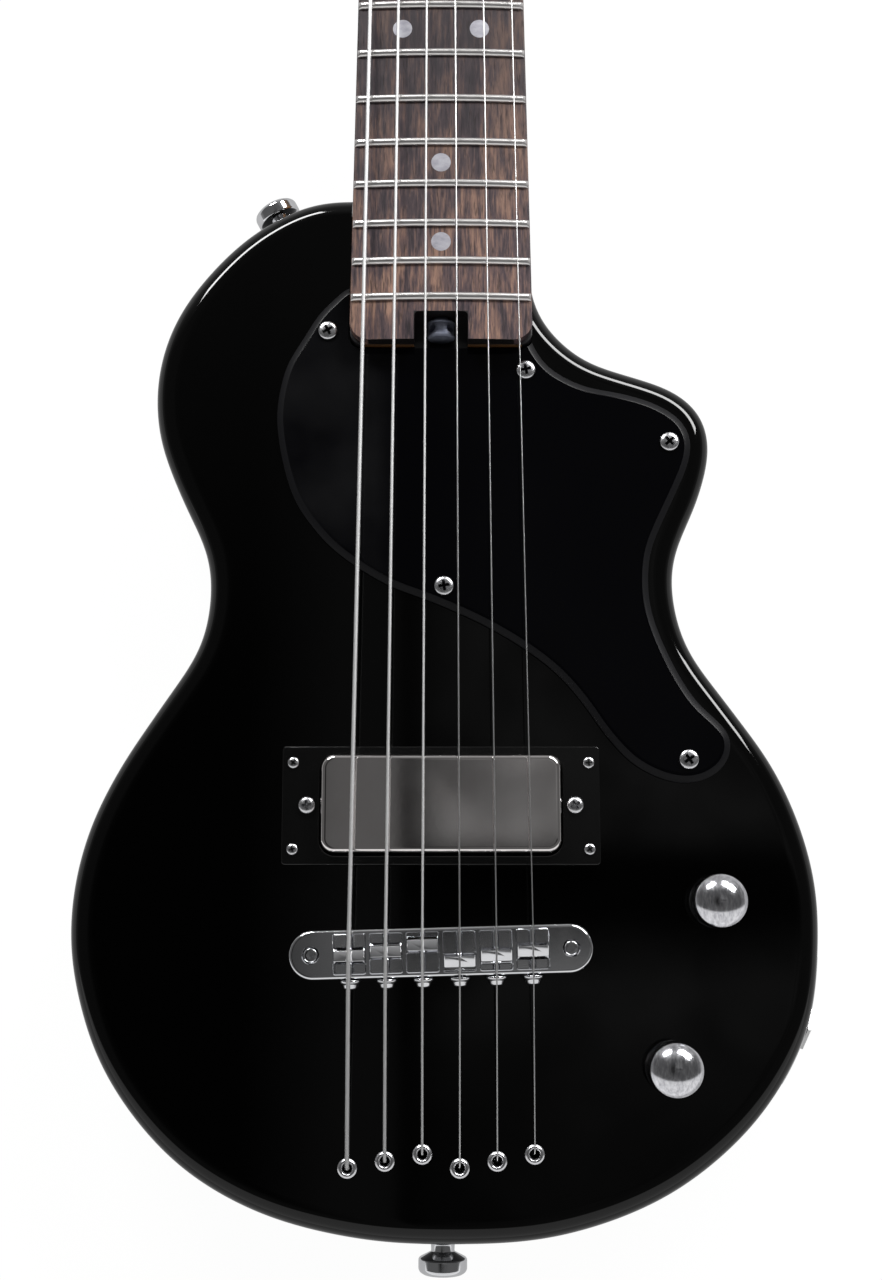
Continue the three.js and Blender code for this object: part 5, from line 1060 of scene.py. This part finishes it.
STUD_TIP = BRIDGE_TOP - 0.3
stud_profile = softened([(0, 22), (4, 22), (4, 41.1), (6.2, 41.1), (6.2, 43), (2.15, 43),
                         (2.15, STUD_TIP), (0, STUD_TIP)], 0.7)
for (x, y), name in zip(POSTS, ("bass", "treble")):
    stud = skin(f"bridge_stud_{name}", turned_grid(stud_profile, 64) + (x, y, 0))
    carve(stud, [block(circle(6, 1.25) + (x, y), STUD_TIP - 5, STUD_TIP + 1)])
    dress_mover(stud, chrome, f"bridge_post_{name}")


# Saddles and their screws
# Six wedges, each with a filed crest for its string, drawn along their bays by screws whose heads
# stand out of the tail side. The three bass ones lean one way and the three treble ones the other.
def saddle_grid(number):
    """Side view of a wedge, carried across its bay, with its corners a little rounded."""
    facing = 1 if number < 3 else -1
    x, y = SADDLE_X[number], SADDLE_Y[number]
    top = string_under(number, on_bridge([x, y])[1]) - 0.3
    bottom = BRIDGE_BOTTOM + 1.5
    half = SADDLE_LENGTH / 2
    corners = [(half, bottom), (-half, bottom), (-half, top - 2.9), (-1.5, top - 0.2),
               (1.4, top - 1.35), (half, top - 2.9)]
    closed = np.array([(facing * along, height) for along, height in corners])
    middle = (closed[:1] + closed[-1:]) / 2
    line = softened(np.vstack([middle, closed, middle]), 0.22, 3)[:-1]
    centre = line.mean(axis=0)
    edge = BAY_WIDTH / 2 - SADDLE_ROOM
    rings = []
    for offset, scale in ((-edge, 0.96), (-edge + 0.2, 1), (edge - 0.2, 1), (edge, 0.96)):
        side_view = (line - centre) * scale + centre + (y, 0)
        rings.append(np.column_stack([np.full(len(line), x + offset), side_view]))
    return on_bridge(np.stack(rings)), top


BOLT_HEAD = BRIDGE_HALF + 2.9
bolt_profile = softened([
    (0, -BOLT_HEAD), (1.6, -BOLT_HEAD), (2.0, -BRIDGE_HALF - 2.6), (2.3, -BRIDGE_HALF - 1.6),
    (3.1, -BRIDGE_HALF - 1.1), (3.2, -BRIDGE_HALF - 0.5), (2.9, -BRIDGE_HALF - 0.3),
    (1, -BRIDGE_HALF - 0.3), (1, BRIDGE_HALF - 0.9), (0, BRIDGE_HALF - 0.9),
], 0.3)
for number, (x, y) in enumerate(zip(SADDLE_X, SADDLE_Y)):
    grid, top = saddle_grid(number)
    saddle = skin(f"saddle_wedge_{number + 1}", grid)
    groove = GAUGES[number] / 2 + 0.3
    groove_z = top + groove - 0.4
    groove_line = on_bridge([(x, y - 4, groove_z), (x, y + 4, groove_z)])
    bore = on_bridge([(x, y - 5, BOLT_Z), (x, y + 5, BOLT_Z)])
    carve(saddle, [beam(*groove_line, groove, 24), beam(*bore, BOLT_BORE, 24)])
    dress_mover(saddle, chrome, f"saddle_{number + 1}", crease=28)
    start = on_bridge([x, 0, BOLT_Z])
    axis = on_bridge([x, 1, BOLT_Z]) - start
    bolt = skin(f"saddle_bolt_{number + 1}", aimed(turned_grid(bolt_profile, 40), start, axis))
    across = np.cross(axis, (0, 0, 1))
    slot = [start - axis * BOLT_HEAD + across * side * 2.5 + axis * deep + (0, 0, up)
            for deep in (-0.5, 0.9) for side, up in ((-1, -0.3), (1, -0.3), (1, 0.3), (-1, 0.3))]
    carve(bolt, [skin("cutter", np.array(slot).reshape(2, 4, 3))])
    dress_mover(bolt, chrome, f"saddle_screw_{number + 1}")


# Ferrules
# Bright eyelets in the front, where the strings come out, and deep chrome cups in the back that
# hold their ball ends.
eyelet = softened([(1.3, -3.5), (2.4, -3.5), (2.4, -0.1), (2.8, 0.05), (2.8, 0.3), (2.2, 0.8),
                   (1.65, 0.7), (1.3, 0.1), (1.3, -3.5)], 0.3, 5)
cup = softened([(2.1, 8.9), (3.3, 8.9), (3.3, 0.5), (4.2, 0.4), (4.2, 0.05), (2.6, 0.02),
                (2.1, 0.6), (2.1, 8.9)], 0.3, 4)
fronts = [skin("eyelet", turned_grid(eyelet, 48) + (x, y, BODY_TOP), lids=False) for x, y in FERRULES]
backs = [skin("cup", turned_grid(cup, 40) + (x, y, 0), lids=False) for x, y in FERRULES]
dress(joined("front_ferrules", fronts), bright_zinc)
dress(joined("rear_ferrules", backs), chrome)


# Strings
# Steel, three of them wound: from a ball under each rear ferrule, up through the body, over the
# saddle and the nut, and round the post of the tuner.
NUT_TOP = HEAD_FACE + 2.7
EXIT_BEND = 2
POST_RADIUS = 3.3
WRAPS = 2.25
WRAP_STEPS = 36


def tube(path, radius, sides=14, reference=(0, 0, 1)):
    """A round section carried along a path. Its sides lie square to the path and to a reference."""
    path = np.asarray(path, float)
    along = unit(np.gradient(path, axis=0))
    level = unit(np.cross(along, np.array(reference, float)))
    upright = np.cross(level, along)
    ring = circle(sides, radius)
    return path[:, None] + ring[None, :, :1] * level[:, None] + ring[None, :, 1:] * upright[:, None]


def line_between(start, end, count):
    part = np.linspace(0, 1, count)[:, None]
    return np.array(start) * (1 - part) + np.array(end) * part


string_finishes = []
for name, level, rough, pitch in (("wound_string", 0.58, 0.6, 0.00042), ("plain_string", 0.68, 0.3, 0)):
    steel = finish(name, "string_steel", {"Metallic": 1.0, "Base Color": grey(level), "Roughness": rough})
    if pitch:
        (along,) = steel.axes("Y")
        steel.bump((along * (2 * math.pi / pitch)).wave(), 0.02, 0.15)
    string_finishes.append(steel)

ball_grid = turned_grid(softened([(0, 5.7), (1.9, 5.7), (1.9, 8.7), (0, 8.7)], 0.5), 32)
for number, (hole_x, hole_y) in enumerate(FERRULES):
    string, saddle_body = f"string_{number + 1}", f"saddle_{number + 1}"
    radius = GAUGES[number] / 2
    look = string_finishes[number > 2]
    exit_z = BODY_TOP + 1.2 + radius
    bend = np.linspace(0, math.pi / 2, 9)
    rise = np.vstack([
        line_between((hole_x, hole_y, 7.2), (hole_x, hole_y, exit_z - EXIT_BEND), 6)[:-1],
        np.stack([np.full(9, hole_x), hole_y + EXIT_BEND * (1 - np.cos(bend)),
                  exit_z - EXIT_BEND + EXIT_BEND * np.sin(bend)], axis=1),
    ])
    start = np.array([hole_x, hole_y + EXIT_BEND, exit_z])
    crest_x, crest_y = on_bridge([SADDLE_X[number], SADDLE_Y[number]])
    crest = np.array([crest_x, crest_y, string_under(number, crest_y) + radius])
    before = crest - (0, 1.45, 0.1)
    over = np.array([string_x(number, SCALE), SCALE, string_under(number, SCALE) + radius])
    tail_edge = start + (before - start) * ((crest_y - 8 - hole_y) / (crest_y - hole_y))
    board_edge = crest + (over - crest) * (8 / (SCALE - crest_y))
    tuner_side, post_x, post_y = TUNERS[number]
    wrap = POST_RADIUS + radius
    turns = np.arange(0, WRAPS * WRAP_STEPS + 1) / WRAP_STEPS
    angle = -tuner_side * turns * 2 * math.pi
    coil = np.stack([
        post_x - tuner_side * wrap * np.cos(angle), post_y - tuner_side * wrap * np.sin(angle),
        NUT_TOP + 0.3 + radius + (2 * radius + 0.5) * (WRAPS - turns),
    ], axis=1)
    head_run = np.vstack([over[None], over[None] + (0, 4.7, 0), coil])
    ball = skin("ball", ball_grid + (hole_x, hole_y, 0))
    rear = skin("rear", tube(rise, radius, reference=(1, 0, 0)))
    fore = skin("fore", tube(head_run, radius))
    dress(joined(f"{string}_ends", [ball, rear, fore]), look, stands_for=[string])
    stretches = (
        ("tail", "guitar", "bridge", start, tail_edge, line_between(start, tail_edge, 40)),
        ("foot", "bridge", saddle_body, tail_edge, before, line_between(tail_edge, before, 16)),
        ("neck", "bridge", "guitar", board_edge, over, line_between(board_edge, over, 300)),
        ("crest", saddle_body, "bridge", crest, board_edge, np.vstack([before, crest, board_edge])),
    )
    for part, body_a, body_b, first, last, line in stretches:
        run = skin(f"{string}_{part}", tube(line, radius))
        dress(run, look)
        run.parent = None
        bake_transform(run)


# Knobs and pots
# Chrome knobs, each with a knurled side and a low domed cap, pushed on the shafts of two pots
# that hang under the top.
KNURLS = 72
KNURL_DEPTH = 0.33
KNOB_TOP = 13.5
CAP_RADIUS = 7.45
CAP_RISE = 3.3


def knob_grid(columns=KNURLS * 6):
    """A cap, part of a ball, on a straight side whose radius rises and falls in ridges round it."""
    skirt = np.array([(7.3, 1.0), (7.7, 1.35), (7.7, 3.5), (7.7, 5.6), (7.7, 7.8), (7.7, 9.6),
                      (7.55, 10.1)])
    ball = (CAP_RADIUS ** 2 + CAP_RISE ** 2) / (2 * CAP_RISE)
    turn = np.linspace(math.asin(CAP_RADIUS / ball), 0, 22)
    dome = np.stack([ball * np.sin(turn), KNOB_TOP - ball * (1 - np.cos(turn))], axis=1)
    under = np.array([(0, -4.5), (2.4, -4.5), (2.4, 4.0), (6.2, 4.0), (6.2, 1.0)])
    profile = np.vstack([under, skirt, dome])
    ridged = np.concatenate([np.zeros(len(under)), [0.4, 1, 1, 1, 1, 1, 0.9], np.zeros(len(dome))])
    angle = np.arange(columns) / columns * 2 * math.pi
    ridge = np.abs((angle * KNURLS / (2 * math.pi)) % 1 - 0.5) * 2
    radius = profile[:, :1] - KNURL_DEPTH * ridged[:, None] * ridge[None]
    return np.stack([radius * np.cos(angle), radius * np.sin(angle),
                     np.broadcast_to(profile[:, 1:], radius.shape)], axis=-1)


turned_chrome = finish("turned_chrome", "chrome", {"Metallic": 1.0})
scratch = turned_chrome.noise(1100, 4, 0.7, (1, 0.3, 1))
turned_chrome.paint({
    "Base Color": turned_chrome.tint(scratch, (0.35, (0.52, 0.52, 0.55)), (0.62, (0.8, 0.8, 0.83))),
    "Roughness": 0.05 + 0.2 * scratch,
})
turned_chrome.bump(scratch, 0.02, 0.7)
for name, (x, y) in (("volume", VOLUME), ("tone", TONE)):
    knob = skin(f"{name}_dome", knob_grid() + (x, y, BODY_TOP))
    dress_mover(knob, turned_chrome, f"{name}_knob")
plain_steel = finish("zinc_steel", "plain_steel", {
    "Metallic": 1.0, "Base Color": grey(0.5), "Roughness": 0.35,
})
plain_steel.bump(plain_steel.noise(600, 3, 0.5), 0.01, 0.4)
for name in ("volume_pot", "tone_pot", "output_jack"):
    recoat(name, plain_steel)


# Jack plate
# A chrome plate bent to the edge of the body, with a screw at each end and the jack's nut.
def edge_grid(half_length, half_height, inner, outer):
    """A plate that follows the body's outline: a rounded section of offset and height, carried
    along the outline on both sides of the jack."""
    steps = int(round(half_length / OUTLINE_STEP))
    index = (jack_index + np.arange(-steps, steps + 1)) % BODY_POINTS
    section = softened([(inner, 0), (inner, -half_height), (outer, -half_height), (outer, half_height),
                        (inner, half_height), (inner, 0)], 0.4, 4)[:-1]
    flat = body_outline[index][:, None] + section[None, :, :1] * outwards_at(index)[:, None]
    height = np.broadcast_to(section[None, :, 1:] + BODY_TOP / 2, (*flat.shape[:2], 1))
    return np.concatenate([flat, height], axis=-1)


plate = skin("jack_cover", edge_grid(18.5, 9, 0.3, 1.3))
jack_bores = [beam(jack_mouth - jack_axis * 3, jack_mouth + jack_axis * 5, 5.0, 48)]
jack_screws = []
for reach in (-15, 15):
    index = (jack_index + int(round(reach / OUTLINE_STEP))) % BODY_POINTS
    out = np.array([*outwards_at(index), 0])
    spot = np.array([*body_outline[index], BODY_TOP / 2]) + out * 0.5
    jack_bores.append(beam(spot - out * 2, spot + out * 3, 2.45))
    jack_screws += cross_screw(2.4, 0.75, [spot], [0.4 + reach * 0.02], out)
carve(plate, jack_bores)
dress(plate, chrome, stands_for=["jack_plate"])
dress(joined("jack_screws", jack_screws), bright_zinc)


# Strap buttons
# Two chrome spools, one in the tail and one in the upper horn, each with a screw through it.
SPOOL_FLOOR = 10.1
spool = softened([(0, 0.3), (5, 0.3), (4.2, 1.2), (3.5, 2.1), (3.4, 4.3), (5.2, 5.2), (6.8, 6.0),
                  (7.1, 6.5), (7.1, 9.2), (6.7, 10.0), (5.6, 10.7), (2.6, 10.7), (2.3, SPOOL_FLOOR),
                  (0, SPOOL_FLOOR)], 0.4, 5)
for name, shares in (("strap_button_tail", (0.002, 0)), ("strap_button_horn", (-0.459, 0.9885))):
    _, foot, out = outline_at(on_body(shares))
    base = np.array([*foot, BODY_TOP / 2])
    axis = np.array([*out, 0.0])
    button = skin("spool", aimed(turned_grid(spool, 64), base, axis))
    screw = cross_screw(2.1, 0.9, [base + axis * SPOOL_FLOOR], [0.5], axis)
    dress(joined(f"{name}_spool", [button, *screw]), chrome, stands_for=[name])


# Tuners
# Die-cast cases on the back of the head. Each has a bushing that a hex nut draws down on the
# face, a post with a worm wheel, and a button whose worm turns it.
CASE_TOP = HEAD_BACK - 0.1
CASE_BOTTOM = CASE_TOP - 9
CASE_WALL = 1.4
ROOM_BOTTOM, ROOM_TOP = CASE_BOTTOM + CASE_WALL, CASE_TOP - CASE_WALL
WORM_Z = (CASE_TOP + CASE_BOTTOM) / 2
WORM_OFFSET = 7.1
POST_BORE = 3.4
POST_TOP = HEAD_FACE + 10.5
STRING_HOLE_Z = POST_TOP - 2.7
PADDLE_MIDDLE, PADDLE_HALF, PADDLE_WIDTH, PADDLE_WAIST = 18 + 7, 7, 8.5, 0.9
hex_levels = [(0.6, HEAD_FACE + 0.9), (0.1, HEAD_FACE + 1.1), (0, HEAD_FACE + 1.3), (0, HEAD_FACE + 2.3),
              (0.1, HEAD_FACE + 2.55), (0.7, NUT_TOP)]
washer_levels = edges(HEAD_FACE + 0.1, HEAD_FACE + 0.85, 0.1, 0.25, 3)
post_profile = softened([
    (0, WORM_Z - 1.3), (5, WORM_Z - 1.3), (5, WORM_Z + 1.3), (3, WORM_Z + 1.3), (3, POST_TOP - 4.2),
    (2.7, POST_TOP - 3.4), (2.7, POST_TOP - 1.9), (3, POST_TOP - 1.2), (2.9, POST_TOP - 0.3),
    (2.2, POST_TOP), (0, POST_TOP),
], 0.3)
shaft_profile = softened([(0, -4), (1.8, -4), (1.8, 4), (1.7, 4.3), (1.7, 14), (2.6, 15.5), (2.6, 18.5),
                          (0, 18.5)], 0.3)
angle = np.linspace(0, 2 * math.pi, 60, endpoint=False)
cosine, sine = np.cos(angle), np.sin(angle)
paddle_reach = PADDLE_MIDDLE + PADDLE_HALF * np.sign(cosine) * np.abs(cosine) ** 0.75
paddle_width = ((PADDLE_WIDTH - PADDLE_WAIST * cosine ** 2 * (cosine < 0))
                * np.sign(sine) * np.abs(sine) ** 0.8)
for number, (side, x, y) in enumerate(TUNERS, 1):
    worm_y = y + WORM_OFFSET
    worm_start = np.array((x, worm_y, WORM_Z))
    case_plan = rounded_rectangle(19, 18, 4, (x, y + WORM_OFFSET / 3))
    case = skin("case", stacked(case_plan, edges(CASE_BOTTOM, CASE_TOP, 1.8, 0.2, 6)))
    carve(case, [peg(x, y, CASE_TOP - 1, HEAD_FACE + 0.1, 4.7)], "UNION")
    carve(case, [
        peg(x, y, ROOM_BOTTOM, ROOM_TOP, 5.6),
        box_between((x - 4.3, y + 2.5, ROOM_BOTTOM), (x + 4.3, worm_y + 2.1, ROOM_TOP)),
        peg(x, y, WORM_Z, 50, POST_BORE),
        beam(worm_start, worm_start + (side * 12, 0, 0), 2.1),
    ])
    hex_nut = skin("nut", stacked(circle(6, 7.0) + (x, y), hex_levels))
    washer = skin("washer", stacked(circle(64, 8.0) + (x, y), washer_levels))
    carve(hex_nut, [peg(x, y, 40, 50, POST_BORE)])
    carve(washer, [peg(x, y, 38, 50, POST_BORE)])
    dress(joined(f"tuner_case_{number}", [case, hex_nut, washer]), chrome,
          stands_for=[f"tuner_housing_{number}"])
    barrel = skin(f"tuner_barrel_{number}", turned_grid(post_profile, 48) + (x, y, 0))
    carve(barrel, [beam((x - 4, y, STRING_HOLE_Z), (x + 4, y, STRING_HOLE_Z), 0.75, 20)])
    dress_mover(barrel, chrome, f"tuner_post_{number}")
    shaft = skin("shaft", aimed(turned_grid(shaft_profile, 32), worm_start, (side, 0, 0)))
    lobe = np.stack([side * paddle_reach, paddle_width], axis=1) + (x, worm_y)
    paddle = skin("paddle", stacked(lobe, edges(WORM_Z - 3, WORM_Z + 3, 2.6, 2.6, 8)))
    dress_mover(joined(f"tuner_key_{number}", [shaft, paddle]), chrome, f"tuner_button_{number}")


# Back plates
# A chrome plate with four screws holds the neck; a black sheet covers the controls. Both are let
# in flush with the back.
DOWN = (0, 0, -1)
plate_plan = rounded_rectangle(PLATE_WIDTH, PLATE_LENGTH, PLATE_CORNER, (0, PLATE_Y))
neck_plate = skin("neck_plate_sheet", stacked(plate_plan, edges(0.6, 2.0, 0.4, 0.1, 4)))
bolt_places = [(x, PLATE_Y + y, 0.62) for x in (-16, 16) for y in (-12, 12)]
bolts = cross_screw(3.2, 0.5, bolt_places, (0.2, 0.8, 0.5, 1.1), DOWN)
shanks = [beam((x, y, 1), (x, y, 36), 1.95) for x, y, _ in bolt_places]
dress(joined("neck_plate_set", [neck_plate, *bolts, *shanks]), chrome, stands_for=["neck_plate"])
cover_sheet = stacked(shrunk(cavity_outline, 0.3 - COVER_LIP), edges(0.1, 2.2, 0.3, 0.1, 3))
dress(skin("control_cover_sheet", cover_sheet), ring_plastic, stands_for=["control_cover"])
cover_marks = on_body(CAVITY_SHARES[[0, 2, 4, 6, 8]])
centre = cover_marks.mean(axis=0)
cover_places = [(*(centre + (mark - centre) * 1.03), 0.9) for mark in cover_marks]
cover_screws = cross_screw(2.2, 0.5, cover_places, (0.1, 0.7, 0.4, 1.0, 0.2), DOWN)
dress(joined("cover_screws", cover_screws), chrome)
